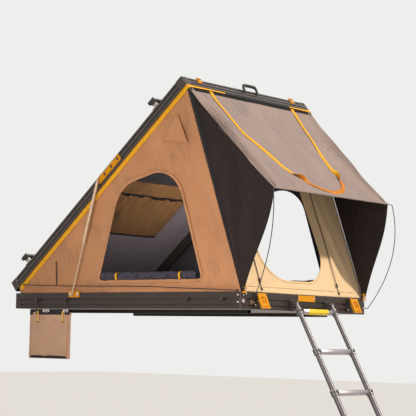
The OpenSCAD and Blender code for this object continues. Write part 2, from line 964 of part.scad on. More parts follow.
module ladder_section(k) {
    top_s = k == 1 ? 0 : rung_s(k) - collar_h / 2;
    bore_r = tube_outer(k) - rail_tube_wall;
    ladder_frame()
        difference() {
            union() {
                rung(k);
                for (y = [-ladder_w / 2, ladder_w / 2])
                    translate([0, y, 0]) {
                        translate([0, 0, -tube_end(k)])
                            cylinder(r = tube_outer(k), h = tube_end(k) - top_s);
                        translate([0, 0, -rung_s(k) - collar_h / 2])
                            cylinder(r = collar_of(k), h = collar_h);
                        if (k == 1)
                            bar_y(rail_tube_r, 2 * rail_tube_r);
                    }
            }
            for (y = [-ladder_w / 2, ladder_w / 2])
                translate([0, y, 0]) {
                    translate([0, 0, -tube_end(k)])
                        cylinder(r = bore_r, h = tube_end(k) - (k == 1 ? rung_s(1) : top_s));
                    if (k == 1)
                        bar_y(hook_pin_r + pin_clear, 3 * rail_tube_r);
                }
        }
}

// A hollow rung between the collars of one section.
module rung(k) {
    half = ladder_w / 2 + 3 - sqrt(max(16, collar_of(k) ^ 2 - (rung_d / 2) ^ 2));
    wall = 2;
    translate([0, 0, -rung_s(k)])
        rotate([90, 0, 0])
            linear_extrude(2 * half, center = true)
                difference() {
                    union() {
                        square([rung_d - rung_t, rung_t], center = true);
                        for (e = [-1, 1])
                            translate([e * (rung_d - rung_t) / 2, 0])
                                circle(rung_t / 2);
                    }
                    square([rung_d - rung_t, rung_t - 2 * wall], center = true);
                }
}

module ladder_section_1() {
    color(charcoal)
        ladder_section(1);
}

module ladder_section_2() {
    color(charcoal)
        ladder_section(2);
}

module ladder_section_3() {
    color(charcoal)
        ladder_section(3);
}

module ladder_section_4() {
    color(charcoal)
        ladder_section(4);
}

module ladder_section_5() {
    color(charcoal)
        ladder_section(5);
}

module ladder_section_6() {
    color(charcoal)
        ladder_section(6);
}

module ladder_feet() {
    r = tube_outer(sections);
    color(black)
        ladder_frame()
            for (y = [-ladder_w / 2, ladder_w / 2])
                translate([0, y, -tube_end(sections)])
                    difference() {
                        translate([0, 0, -foot_t])
                            cylinder(r = r + foot_t, h = foot_h);
                        cylinder(r = r + pin_clear, h = foot_h);
                    }
}

// Lid
module lid_rail_left() {
    color(charcoal)
        on_lid()
            side_rail(lid_z, lid_h, lid_slots);
}

module lid_rail_right() {
    color(charcoal)
        on_lid()
            mirror([0, 1, 0])
                side_rail(lid_z, lid_h, lid_slots);
}

module lid_rail_front() {
    color(charcoal)
        on_lid()
            end_rail(lid_z, lid_h, lid_slots);
}

module lid_rail_rear() {
    color(charcoal)
        on_lid()
            mirror([1, 0, 0])
                end_rail(lid_z, lid_h, lid_slots);
}

module lid_corners() {
    color(charcoal)
        on_lid()
            corner_set(lid_z, lid_h);
}

module roof_panel() {
    color(charcoal)
        on_lid()
            inner_plate(lid_z + lid_h - panel_t, panel_t);
}

module headliner() {
    color("dimgray")
        on_lid()
            inner_plate(lid_z + lid_h - panel_t - liner_t, liner_t);
}

module lid_seal() {
    seal_w = 12;
    inset = rail_w - seal_w - 6;
    color(black)
        on_lid()
            translate([0, 0, lid_z - lid_gap + touch])
                linear_extrude(lid_gap - touch)
                    difference() {
                        square([shell_l - 2 * inset, shell_w - 2 * inset], center = true);
                        square([shell_l - 2 * inset - 2 * seal_w, shell_w - 2 * inset - 2 * seal_w],
                            center = true);
                    }
}

roof_z = lid_z + lid_h;
bar_xs = [rear_x + bar_rear, rear_x + bar_front];
bar_half = side_y - rail_w / 2 + clamp_w / 2;

module crossbars() {
    wall = 2;
    color(charcoal)
        on_lid()
            for (x = bar_xs)
                translate([x, 0, roof_z + clamp_h + bar_t / 2])
                    rotate([90, 0, 0])
                        linear_extrude(2 * bar_half, center = true)
                            difference() {
                                union() {
                                    square([bar_d - bar_t, bar_t], center = true);
                                    for (s = [-1, 1])
                                        translate([s * (bar_d - bar_t) / 2, 0])
                                            circle(bar_t / 2);
                                }
                                square([bar_d - bar_t, bar_t - 2 * wall], center = true);
                            }
}

module crossbar_clamps() {
    color(silver)
        on_lid()
            both_sides()
                for (x = bar_xs)
                    translate([x, -side_y + rail_w / 2, roof_z]) {
                        translate([-bar_d / 2, -clamp_w / 2 + 2, 0])
                            cube([bar_d, clamp_w - 4, 7]);
                        translate([-bar_d / 4, -clamp_w / 4, 7])
                            cube([bar_d / 2, clamp_w / 2, clamp_h - 7]);
                    }
}

// Canvas. Every sheet hangs from the lid and is drawn where it stands with the lid open.
module wall_outline() {
    low_rear = [rear_x + rail_w, wall_foot];
    low_front = [front_x - wall_in, wall_foot];
    polygon([low_rear, low_front, lid_at(front_x - wall_in, lid_z - touch),
        lid_at(rear_x + rail_w, lid_z - touch)]);
}

module window_outline() {
    hull() {
        for (x = [window_x0 + window_corner, window_x1 - window_corner])
            translate([rear_x + x, top_z + sill_h + window_corner])
                circle(window_corner);
        translate([rear_x + window_x0 + window_lean0 + window_r0,
                top_z + window_top - window_step - window_r0])
            circle(window_r0);
        translate([rear_x + window_x1 - window_lean1 - window_r1, top_z + window_top - window_r1])
            circle(window_r1);
    }
}

module side_wall() {
    translate([0, -wall_y + cloth_t, 0])
        rotate([90, 0, 0])
            linear_extrude(cloth_t)
                difference() {
                    wall_outline();
                    window_outline();
                }
}

module side_wall_left() {
    color(canvas)
        side_wall();
}

module side_wall_right() {
    color(canvas)
        mirror([0, 1, 0])
            side_wall();
}

// The front wall leans from the base front up to the ridge.
front_foot = [front_x - wall_in - 2, wall_foot];
front_head = lid_at(front_x - wall_in - 2, lid_z - 2);
front_tilt = atan2(front_foot[0] - front_head[0], front_head[1] - front_foot[1]);
front_l = norm(front_head - front_foot);
front_half = wall_y - cloth_t - touch;

module front_frame() {
    translate([front_foot[0], 0, front_foot[1]])
        rotate([0, -front_tilt, 0])
            rotate([90, 0, 90])
                children();
}

module door_outline() {
    arch_r = door_half * 0.9;
    hull() {
        for (s = [-1, 1])
            translate([door_y + s * (door_half - door_r), door_sill + door_r])
                circle(door_r);
        translate([door_y, front_l - door_top_gap - arch_r])
            circle(arch_r);
    }
}

module front_wall() {
    color(canvas)
        front_frame()
            translate([0, 0, -cloth_t])
                linear_extrude(cloth_t)
                    difference() {
                        translate([-front_half, 2])
                            square([2 * front_half, front_l - 4]);
                        door_outline();
                    }
}

module front_cords() {
    color(black)
        front_frame()
            for (y = [-cord_near, cord_far])
                translate([y, 24, bungee_r + touch])
                    rotate([-90, 0, 0])
                        cylinder(r = bungee_r, h = front_l - 60);
}

// The awning runs from the ridge to its front edge and sags between them.
function awning_half(v) = mix(wall_y, eave_half, v);
function awning_at(u, v) =
    let (c = mix(ridge, eave, v), half = awning_half(v),
         dip = awning_sag * 4 * v * (1 - v) + 5 * sin(540 * v + 90 * u) * v * (1 - v) * abs(u))
    [c[0] - dip * 0.7, u * half, c[1] - dip * 0.7];

module awning_top() {
    nu = 16;
    nv = 14;
    color([0.80, 0.71, 0.67])
        sheet([for (i = [0:nv]) [for (j = [0:nu]) awning_at(2 * j / nu - 1, i / nv)]],
            [cloth_t * 0.7, 0, cloth_t * 0.7]);
}

// A wing closes the side between the awning, the front wall and a slanting free edge.
function wing_at(u, v) =
    let (foot = [front_x - wall_in + 2, -wall_y, wall_foot],
         flat = mix(awning_at(-1, u), foot + [16 * u, 0, 0], v),
         bulge = wing_bulge * (sin(180 * v) + 0.6 * sin(360 * v)) * u)
    flat + [bulge, wing_fold * sin(720 * u + 60 * v) * sin(180 * u) * (1 - v), -3 * (1 - v)];

module awning_wings() {
    nu = 16;
    nv = 14;
    color(dark_cloth)
        both_sides()
            sheet([for (i = [0:nv]) [for (j = [0:nu]) wing_at(j / nu, i / nv)]], [0, cloth_t, 0]);
}

// Rolled flaps lie on the sills inside the windows, drawn in where two ties hold them.
module window_rolls() {
    rings = 36;
    l = window_x1 - window_x0 - 2 * roll_in;
    line = [for (i = [0:rings]) [rear_x + window_x0 + roll_in + l * i / rings, -wall_y + cloth_t / 2,
        top_z + sill_h + roll_r * 0.937 + touch]];
    squeeze = function (t) 1 - 0.28 * (exp(-((t - 0.16) * 22) ^ 2) + exp(-((t - 0.84) * 22) ^ 2));
    sides = 10;
    points = [for (i = [0:rings]) for (k = [0:sides - 1])
        let (w = 360 * k / sides, r = roll_r * 0.92 * squeeze(i / rings) * (1 + 0.07 * sin(200 * i)))
        line[i] + [0, r * cos(w), r * sin(w)]];
    skin = [for (i = [0:rings - 1], k = [0:sides - 1])
        let (c = i * sides + k, d = i * sides + (k + 1) % sides)
        each [[c, d + sides, d], [c, c + sides, d + sides]]];
    caps = [for (k = [1:sides - 2])
        each [[0, k, k + 1], [rings * sides, rings * sides + k + 1, rings * sides + k]]];
    color(charcoal)
        both_sides()
            polyhedron(points, concat(skin, caps));
}

module vent_hoods() {
    low_rear = [rear_x + vent_x0, top_z + vent_h];
    low_front = [rear_x + vent_x1, top_z + vent_h - vent_rise * 0.27];
    apex = [mix(low_rear[0], low_front[0], 0.56), top_z + vent_h + vent_rise];
    color(canvas)
        both_sides()
            translate([0, -wall_y - touch / 4, 0])
                rotate([90, 0, 0])
                    linear_extrude(6)
                        polygon([apex, low_rear, low_front]);
}

// Places of the bungee, as shares of the shell's length and of the base's height above the base top.
bungee_route = [[0.039, 0.54], [0.195, 0.46], [0.386, 0.41], [0.586, 0.36], [0.79, 0.21], [0.981, 0.07]];

// The bungee runs along each side wall from the lid's rear corner to the base's front corner.
module closing_bungee() {
    out = -wall_y - webbing_t - bungee_r - touch;
    path = [for (p = bungee_route) [rear_x + p[0] * shell_l, out, top_z + p[1] * base_h]];
    color(black)
        both_sides()
            tube(path, bungee_r, bungee_r, 8, [0, 1, 0]);
}

// Orange webbing under the lid's edge, outside the side walls and on the front rail's foot.
module edge_webbing() {
    run = shell_l - rail_w - 40;
    color(orange)
        on_lid() {
            both_sides()
                translate([rear_x + rail_w, -wall_y - webbing_t - touch / 4, lid_z - webbing_w])
                    cube([run, webbing_t, webbing_w - touch]);
            translate([front_x + touch / 2, -latch_y - 60, lid_z - webbing_w])
                cube([webbing_t, 2 * latch_y + 120, webbing_w + rail_wall * 4]);
        }
}

// The pull strap is a slack loop on the awning, given by its place across and down the slope.
strap_route = [[-462, 27], [-474, 120], [-452, 310], [-424, 470], [-380, 615], [-320, 750], [-245, 850],
    [-150, 940], [-30, 985], [80, 990], [185, 950], [262, 880], [300, 790], [318, 665], [352, 520],
    [388, 365], [416, 215], [452, 27]];
slope_l = norm(eave - ridge);

module pull_strap() {
    n = len(strap_route) - 1;
    slack = 7;
    place = function (i)
        let (k = min(floor(i), n - 1), q = mix(strap_route[k], strap_route[k + 1], i - k),
             v = q[1] / slope_l, p = awning_at(q[0] / awning_half(v), v),
             lift = webbing_t / 2 + 0.9 + slack * sin(180 * i / n) ^ 0.5)
        p + [1, 0, 1] * 0.7 * (cloth_t + lift);
    color(orange)
        tube([for (i = [0:2 * n]) place(i / 2)], webbing_w / 2 - 2, webbing_t / 2, 6, [1, 0, 1]);
}

module ceiling_pocket() {
    color(canvas)
        on_lid()
            translate([rear_x + (pocket_x0 + pocket_x1) / 2, pocket_y, roof_z - panel_t - liner_t - touch])
                mirror([0, 0, 1])
                    pillow(pocket_x1 - pocket_x0, pocket_w, 6, pocket_crown, 0.03, 0, 12, 14);
}

// Awning rods: each turns about Y in its socket and reaches to a corner of the awning.
socket_z = top_z - socket_drop;
near_pivot = [front_x + near_socket_out, -near_socket_y, socket_z];
far_pivot = [front_x - far_socket_in, side_y, socket_z];
socket_t = 8;
socket_r = 7;

module rod_sockets() {
    color(silver) {
        difference() {
            union() {
                translate(near_pivot)
                    bar_y(socket_r, socket_t);
                translate([front_x, near_pivot[1] - socket_t / 2, socket_z - socket_r / 2])
                    cube([near_socket_out - spring_r, socket_t, socket_r]);
                translate([front_x, near_pivot[1] - 14, socket_z - 16])
                    cube([3, 28, 32]);
            }
            translate(near_pivot)
                bar_y(spring_r + pin_clear, 2 * socket_t);
        }
        difference() {
            translate([far_pivot[0], side_y + 7, socket_z])
                bar_y(socket_r, 14);
            translate([far_pivot[0], side_y + 9, socket_z])
                bar_y(spring_r + pin_clear, 10.02);
        }
    }
}

module spring_rod(low, mid, high, ref) {
    rings = 24;
    tube([for (i = [0:rings]) bow(low, mid, high, i / rings)], spring_r, spring_r, 10, ref);
}

module awning_rod_near() {
    low = near_pivot + [0, -socket_t / 2 - spring_r - 1, 0];
    high = [eave[0] - 2, -eave_half - spring_r - 3, eave[1] - 2];
    color(black) {
        translate(near_pivot + [0, -spring_r / 2 - 1, 0])
            bar_y(spring_r, socket_t + 3 * spring_r);
        translate(low)
            sphere(spring_r);
        spring_rod(low, mix(low, high, 0.5) + [2 * near_bow, 0, 0], high, [0, 1, 0]);
    }
}

module awning_rod_far() {
    low = [far_pivot[0], side_y + far_stub, socket_z];
    high = [eave[0] - 2, eave_half + 62, eave[1] - 8];
    tip = [eave[0] - 2, eave_half + spring_r + 3, eave[1] - 2];
    mid = mix(low, high, 0.5) + [far_bow, 1.4 * far_bow, 0];
    stub_l = far_stub - 20;
    rings = 24;
    color(black) {
        translate([far_pivot[0], side_y + 6 + stub_l / 2, socket_z])
            bar_y(spring_r, stub_l);
        tube(concat([low - [0, 30, 0], low - [0, 7, 0]],
            [for (i = [0:rings]) bow(low + [0, 0, 7], mid, high, i / rings)], [high - [0, 7, -5], tip]),
            spring_r * 0.97, spring_r * 0.97, 10, [1, 0, 0]);
    }
}

base_rail_left();
base_rail_right();
base_rail_front();
base_rail_rear();
base_corners();
floor_panel();
mounting_rail_left();
mounting_rail_right();
mattress();
hinge_base_leaves();
hinge_pins();
strut_base_brackets();
latch_plates();
ladder_hooks();
centre_plate();
slot_knobs();
rod_sockets();
bag_hangers();
lid_rail_left();
lid_rail_right();
lid_rail_front();
lid_rail_rear();
lid_corners();
roof_panel();
headliner();
lid_seal();
crossbars();
crossbar_clamps();
latch_keepers();
lid_handle();
strut_lid_brackets();
edge_webbing();
pull_strap();
ceiling_pocket();
hinge_lid_leaves();
side_wall_left();
side_wall_right();
front_wall();
awning_top();
awning_wings();
window_rolls();
vent_hoods();
closing_bungee();
front_cords();
strut_tube_left();
strut_tube_right();
strut_rod_left();
strut_rod_right();
latch_lever_left();
latch_lever_right();
awning_rod_near();
awning_rod_far();
ladder_section_1();
ladder_section_2();
ladder_section_3();
ladder_section_4();
ladder_section_5();
ladder_section_6();
ladder_feet();
shoe_bag();
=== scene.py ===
import math
from itertools import accumulate

import bmesh
import bpy
from mathutils import Matrix, Vector, noise


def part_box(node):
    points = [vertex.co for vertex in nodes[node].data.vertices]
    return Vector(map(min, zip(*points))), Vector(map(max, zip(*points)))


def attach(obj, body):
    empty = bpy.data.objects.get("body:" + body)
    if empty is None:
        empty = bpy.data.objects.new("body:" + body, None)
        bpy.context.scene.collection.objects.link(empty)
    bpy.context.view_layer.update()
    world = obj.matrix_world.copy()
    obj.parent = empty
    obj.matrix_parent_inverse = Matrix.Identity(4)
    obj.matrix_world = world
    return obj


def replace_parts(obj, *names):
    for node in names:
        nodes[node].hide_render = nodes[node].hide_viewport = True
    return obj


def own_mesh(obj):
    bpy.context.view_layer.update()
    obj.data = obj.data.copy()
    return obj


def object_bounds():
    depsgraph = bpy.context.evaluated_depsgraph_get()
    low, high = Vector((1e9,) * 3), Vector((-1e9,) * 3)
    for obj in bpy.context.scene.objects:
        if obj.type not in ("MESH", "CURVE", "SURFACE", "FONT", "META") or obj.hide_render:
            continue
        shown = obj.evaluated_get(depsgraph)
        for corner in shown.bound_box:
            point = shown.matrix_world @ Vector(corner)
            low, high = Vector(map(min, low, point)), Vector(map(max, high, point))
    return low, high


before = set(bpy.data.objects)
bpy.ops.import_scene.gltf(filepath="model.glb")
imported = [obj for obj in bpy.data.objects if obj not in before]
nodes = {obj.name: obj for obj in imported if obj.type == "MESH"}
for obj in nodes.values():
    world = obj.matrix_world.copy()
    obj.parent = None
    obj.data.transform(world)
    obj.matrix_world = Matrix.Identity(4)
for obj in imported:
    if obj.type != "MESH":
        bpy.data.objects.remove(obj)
cad_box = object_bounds()

# The shell's own sizes, in metres, as the solids have them.
LID_ANGLE = math.radians(40.3)
REAR, FRONT = -1.075, 1.075
BASE_TOP, LID_LOW, ROOF = 0.137, 0.143, 0.218
HINGE_X, HINGE_Z = -1.087, 0.140
WALL_Y = 0.688
RAIL = 0.045
RAIL_FACE, BRACKET_FACE, KNOB_FACE = 0.7003, 0.7062, 0.7211
LATCH_Y = 0.520
EAVE_X, EAVE_Z, EAVE_HALF = 1.291, 0.805, 0.650
LID_RUN = Vector((math.cos(LID_ANGLE), 0, math.sin(LID_ANGLE)))
LID_UP = Vector((-math.sin(LID_ANGLE), 0, math.cos(LID_ANGLE)))
AWNING_UP = Vector((0.7071, 0, 0.7071))
X, Y, Z = Vector((1, 0, 0)), Vector((0, 1, 0)), Vector((0, 0, 1))
SIDES = ((-1, "left"), (1, "right"))
ENDS = ((-1, "near"), (1, "far"))

# How thick canvas, tape and webbing are, and how far the canvas's middle lies from its plane.
CANVAS, TAPE, WEBBING, SKIN = 0.0022, 0.0016, 0.0022, 0.00125


def on_lid(x, y, z):
    """Where a point of the closed lid lies with the lid open."""
    return Vector((HINGE_X, y, HINGE_Z)) + LID_RUN * (x - HINGE_X) + LID_UP * (z - HINGE_Z)


RIDGE = on_lid(FRONT - 0.006, 0, LID_LOW - 0.005)
EAVE = Vector((EAVE_X, 0, EAVE_Z))
SLOPE = (EAVE - RIDGE).normalized()
SLOPE_L = (EAVE - RIDGE).length


def mix(a, b, t):
    return a + (b - a) * t


def smooth(lo, hi, x):
    t = min(1.0, max(0.0, (x - lo) / (hi - lo)))
    return t * t * (3 - 2 * t)


def shares(n):
    """Even steps from 0 to 1, with both ends."""
    return [k / n for k in range(n + 1)]


def round_turn(n):
    """Even angles round a circle."""
    return [math.tau * k / n for k in range(n)]


def squared(value, power):
    """A sine or cosine pressed towards a square wave."""
    return math.copysign(abs(value) ** power, value)


def wobble(x, y, z, size, seed=0.0):
    return noise.noise(Vector((x / size + seed, y / size, z / size)))


def paint(r, g, b):
    """A colour as the eye reads it on a screen, from 0 to 255."""
    def line(c):
        c /= 255
        return ((c + 0.055) / 1.055) ** 2.4 if c > 0.04045 else c / 12.92
    return (line(r), line(g), line(b), 1.0)


# Shader groups

def new_group(name, inputs, outputs):
    group = bpy.data.node_groups.new(name, "ShaderNodeTree")
    for kind, label, value in inputs:
        socket = group.interface.new_socket(label, in_out="INPUT", socket_type="NodeSocket" + kind)
        if value is not None:
            socket.default_value = value
    for kind, label in outputs:
        group.interface.new_socket(label, in_out="OUTPUT", socket_type="NodeSocket" + kind)
    return group, group.nodes.new("NodeGroupInput").outputs, group.nodes.new("NodeGroupOutput").inputs


def feed(tree, socket, value):
    """Links a socket to another node's output, or sets it to a value."""
    if hasattr(value, "is_output"):
        tree.links.new(value, socket)
    else:
        socket.default_value = value


def math_node(tree, operation, a, b=None, clamp=False):
    n = tree.nodes.new("ShaderNodeMath")
    n.operation = operation
    n.use_clamp = clamp
    feed(tree, n.inputs[0], a)
    if b is not None:
        feed(tree, n.inputs[1], b)
    return n.outputs[0]


def noise_node(tree, vector, scale, detail=3.0, rough=0.55):
    n = tree.nodes.new("ShaderNodeTexNoise")
    for label, value in (("Vector", vector), ("Scale", scale), ("Detail", detail), ("Roughness", rough)):
        feed(tree, n.inputs[label], value)
    return n.outputs[0]


def mix_colour(tree, factor, a, b):
    n = tree.nodes.new("ShaderNodeMix")
    n.data_type = "RGBA"
    for i, value in ((0, factor), (6, a), (7, b)):
        feed(tree, n.inputs[i], value)
    return n.outputs[2]


def remap(tree, value, lo, hi, out_lo=0.0, out_hi=1.0):
    n = tree.nodes.new("ShaderNodeMapRange")
    for label, v in (("Value", value), ("From Min", lo), ("From Max", hi), ("To Min", out_lo), ("To Max", out_hi)):
        feed(tree, n.inputs[label], v)
    return n.outputs["Result"]


def split_node(tree, vector):
    n = tree.nodes.new("ShaderNodeSeparateXYZ")
    tree.links.new(vector, n.inputs[0])
    return n.outputs


def stretch_node(tree, vector, scale):
    n = tree.nodes.new("ShaderNodeMapping")
    n.inputs["Scale"].default_value = scale
    tree.links.new(vector, n.inputs["Vector"])
    return n.outputs[0]


def off_middle(tree, value):
    """How far a value is from a half."""
    return math_node(tree, "ABSOLUTE", math_node(tree, "SUBTRACT", value, 0.5))


def give_masked(group, outputs, mask, a, b):
    """Ends a group with its colour and the mask that mixed it."""
    group.links.new(mix_colour(group, mask, a, b), outputs["Color"])
    group.links.new(mask, outputs["Mask"])
    return group


def build_weave_group():
    """Plain weave with a coarser ripstop grid, from a vector in metres."""
    g, given, result = new_group("canvas_weave",
        [("Vector", "Vector", None), ("Float", "Threads per metre", 700.0), ("Float", "Grid per metre", 110.0)],
        [("Float", "Height"), ("Float", "Grid")])
    split = split_node(g, given["Vector"])
    waves, lines = [], []
    for axis in (0, 1):
        turns = math_node(g, "MULTIPLY", split[axis], given["Threads per metre"])
        waves.append(math_node(g, "SINE", math_node(g, "MULTIPLY", turns, math.tau)))
        cell = math_node(g, "FRACT", math_node(g, "MULTIPLY", split[axis], given["Grid per metre"]))
        lines.append(remap(g, off_middle(g, cell), 0.06, 0.12, 1, 0))
    grid = math_node(g, "MAXIMUM", lines[0], lines[1])
    g.links.new(math_node(g, "ADD", math_node(g, "MULTIPLY", waves[0], waves[1]), grid), result["Height"])
    g.links.new(grid, result["Grid"])
    return g


def build_fade_and_light_group():
    """Two scales of cloud between a main and a second colour: sun fade and soil on most finishes, painted highlight and
    shade on the flap cloth.
    """
    g, given, result = new_group("sun_fade",
        [("Vector", "Vector", None), ("Color", "Main", (1, 1, 1, 1)), ("Color", "Second", (0.5, 0.5, 0.5, 1)),
         ("Float", "Size", 3.0), ("Float", "Amount", 0.6)],
        [("Color", "Color"), ("Float", "Mask")])
    wide = remap(g, noise_node(g, given["Vector"], given["Size"], 4.0, 0.6), 0.32, 0.68)
    fine = math_node(g, "SUBTRACT", noise_node(g, given["Vector"], 60.0, 2.0), 0.5)
    both = math_node(g, "ADD", wide, math_node(g, "MULTIPLY", fine, 0.5))
    mask = math_node(g, "MULTIPLY", both, given["Amount"], clamp=True)
    return give_masked(g, result, mask, given["Main"], given["Second"])


def build_crease_shade_group():
    """Painted crease shade: thin lines drawn out along one direction, in loose patches, where the cloth is darkened as
    shade in its creases, from a vector in metres.
    """
    g, given, result = new_group("crease_marks",
        [("Vector", "Vector", None), ("Float", "Lean", 0.0), ("Float", "Amount", 0.5)], [("Float", "Mask")])
    turn = g.nodes.new("ShaderNodeVectorRotate")
    turn.rotation_type = "Z_AXIS"
    g.links.new(given["Vector"], turn.inputs["Vector"])
    g.links.new(math_node(g, "MULTIPLY", given["Lean"], -1.0), turn.inputs["Angle"])
    drawn = stretch_node(g, turn.outputs["Vector"], (1.9, 11.5, 1.0))
    line = remap(g, off_middle(g, noise_node(g, drawn, 1.0, 3.0, 0.6)), 0.0, 0.065, 1, 0)
    patch = remap(g, noise_node(g, given["Vector"], 4.2, 2.0), 0.46, 0.62)
    loose = math_node(g, "MULTIPLY", line, patch)
    g.links.new(math_node(g, "MULTIPLY", loose, given["Amount"], clamp=True), result["Mask"])
    return g


def build_wear_group():
    """Rubbed edges: bare colour where the surface turns sharply and the cloud is high."""
    g, given, result = new_group("rubbed_edges",
        [("Vector", "Vector", None), ("Color", "Coat", (0.1, 0.1, 0.1, 1)), ("Color", "Bare", (0.6, 0.6, 0.6, 1)),
         ("Float", "Amount", 0.6)],
        [("Color", "Color"), ("Float", "Mask")])
    shape = g.nodes.new("ShaderNodeNewGeometry")
    bevel = g.nodes.new("ShaderNodeBevel")
    bevel.samples = 4
    bevel.inputs["Radius"].default_value = 0.003
    turn = g.nodes.new("ShaderNodeVectorMath")
    turn.operation = "DOT_PRODUCT"
    g.links.new(bevel.outputs["Normal"], turn.inputs[0])
    g.links.new(shape.outputs["Normal"], turn.inputs[1])
    edge = remap(g, turn.outputs["Value"], 0.995, 0.90)
    cloud = remap(g, noise_node(g, given["Vector"], 38.0, 5.0, 0.65), 0.38, 0.66)
    mask = math_node(g, "MULTIPLY", math_node(g, "MULTIPLY", edge, cloud), given["Amount"], clamp=True)
    return give_masked(g, result, mask, given["Coat"], given["Bare"])


def build_dust_group():
    """Road dust: a pale film that lies thicker on what faces up, broken by clouds."""
    g, given, result = new_group("road_dust",
        [("Vector", "Vector", None), ("Color", "Color", (0.1, 0.1, 0.1, 1)), ("Color", "Dust", (0.45, 0.36, 0.28, 1)),
         ("Float", "Amount", 0.3)],
        [("Color", "Color"), ("Float", "Mask")])
    shape = g.nodes.new("ShaderNodeNewGeometry")
    up = remap(g, split_node(g, shape.outputs["Normal"])[2], -0.4, 1.0, 0.25, 1.0)
    cloud = remap(g, noise_node(g, given["Vector"], 7.0, 6.0, 0.62), 0.3, 0.7, 0.45, 0.85)
    mask = math_node(g, "MULTIPLY", math_node(g, "MULTIPLY", up, cloud), given["Amount"], clamp=True)
    return give_masked(g, result, mask, given["Color"], given["Dust"])


WEAVE = build_weave_group()
FADE_AND_LIGHT = build_fade_and_light_group()
CREASE_SHADE_GROUP = build_crease_shade_group()
WEAR = build_wear_group()
DUST = build_dust_group()


# Materials

def place_group(tree, group, vector, **values):
    n = tree.nodes.new("ShaderNodeGroup")
    n.node_tree = group
    tree.links.new(vector, n.inputs["Vector"])
    for label, value in values.items():
        feed(tree, n.inputs[label.replace("_", " ")], value)
    return n.outputs


def start_material(name, coords):
    material = bpy.data.materials.new(name)
    material.use_nodes = True
    tree = material.node_tree
    where = tree.nodes.new("ShaderNodeTexCoord").outputs[coords]
    return material, tree, tree.nodes["Principled BSDF"], where


def set_shader(tree, shader, colour, roughness, **constants):
    """Feeds the shader's colour and roughness, and sets its constants."""
    tree.links.new(colour, shader.inputs["Base Color"])
    feed(tree, shader.inputs["Roughness"], roughness)
    for label, value in constants.items():
        shader.inputs[label.replace("_", " ")].default_value = value


def add_bump(tree, shader, height, strength, distance):
    bump = tree.nodes.new("ShaderNodeBump")
    for label, value in (("Strength", strength), ("Distance", distance), ("Height", height)):
        feed(tree, bump.inputs[label], value)
    tree.links.new(bump.outputs["Normal"], shader.inputs["Normal"])


def cloth(name, main, second, threads=620.0, grid=95.0, sheen=0.25, rough=0.86, size=2.6, amount=0.5,
          grid_shade=0.10, crease_shade=(0.0, 0.0)):
    """Woven canvas in two clouded colours, sun fade on most cloth and painted highlight and shade on the flap cloth;
    crease_shade gives the lean and amount of its painted shade along creases.
    """
    material, tree, shader, where = start_material(name, "UV")
    main = paint(*main)
    weave = place_group(tree, WEAVE, where, Threads_per_metre=threads, Grid_per_metre=grid)
    fade = place_group(tree, FADE_AND_LIGHT, where, Main=main, Second=paint(*second), Size=size, Amount=amount)
    deeper = tuple(c * 0.72 for c in main[:3]) + (1.0,)
    colour = mix_colour(tree, math_node(tree, "MULTIPLY", weave["Grid"], grid_shade), fade["Color"], deeper)
    # Painted shade: a darker, bluer copy of the main colour along the crease lines.
    if crease_shade[1]:
        crease_shading = place_group(tree, CREASE_SHADE_GROUP, where, Lean=crease_shade[0], Amount=crease_shade[1])
        shaded = (main[0] * 0.42, main[1] * 0.50, main[2] * 0.66, 1.0)
        colour = mix_colour(tree, crease_shading["Mask"], colour, shaded)
    set_shader(tree, shader, colour, remap(tree, fade["Mask"], 0, 1, rough, min(1.0, rough + 0.08)),
        Sheen_Weight=sheen, Sheen_Roughness=0.5, Specular_IOR_Level=0.25)
    add_bump(tree, shader, weave["Height"], 0.35, 0.0006)
    return material


def coated(name, coat, bare, rough=0.45, metallic=0.0, wear=0.6, dust=0.25, grain=700.0, relief=0.00015,
           specular=0.5):
    """Powder coat or anodising: fine orange peel, rubbed edges, a film of dust."""
    material, tree, shader, where = start_material(name, "Object")
    worn = place_group(tree, WEAR, where, Coat=paint(*coat), Bare=paint(*bare), Amount=wear)
    dusty = place_group(tree, DUST, where, Color=worn["Color"], Amount=dust)
    peel = noise_node(tree, where, grain, 2.0)
    clean = remap(tree, peel, 0.3, 0.7, rough - 0.06, rough + 0.08)
    film = math_node(tree, "MULTIPLY", dusty["Mask"], 0.35)
    set_shader(tree, shader, dusty["Color"], math_node(tree, "ADD", clean, film, clamp=True),
        Metallic=metallic, Specular_IOR_Level=specular)
    add_bump(tree, shader, peel, 0.4, relief)
    return material


def brushed(name, main, second, rough):
    """Bare metal drawn along one axis."""
    material, tree, shader, where = start_material(name, "Object")
    streak = noise_node(tree, stretch_node(tree, where, (4.0, 260.0, 260.0)), 3.0, 4.0, 0.6)
    fade = place_group(tree, FADE_AND_LIGHT, where, Main=paint(*main), Second=paint(*second), Size=6.0, Amount=0.5)
    dusty = place_group(tree, DUST, where, Color=fade["Color"], Amount=0.12)
    set_shader(tree, shader, dusty["Color"], remap(tree, streak, 0.3, 0.7, rough - 0.08, rough + 0.12), Metallic=1.0)
    add_bump(tree, shader, streak, 0.15, 0.0002)
    return material


def moulded(name, main, second, rough=0.55, specular=0.4):
    """Moulded plastic or rubber with a fine grain and scuffs."""
    material, tree, shader, where = start_material(name, "Object")
    worn = place_group(tree, WEAR, where, Coat=paint(*main), Bare=paint(*second), Amount=0.7)
    dusty = place_group(tree, DUST, where, Color=worn["Color"], Amount=0.18)
    skin = noise_node(tree, where, 420.0, 3.0)
    set_shader(tree, shader, dusty["Color"], remap(tree, skin, 0.3, 0.7, rough - 0.08, rough + 0.1),
        Specular_IOR_Level=specular)
    add_bump(tree, shader, skin, 0.35, 0.0003)
    return material


def turns_along(tree, value, count):
    return math_node(tree, "MULTIPLY", value, math.tau * count)


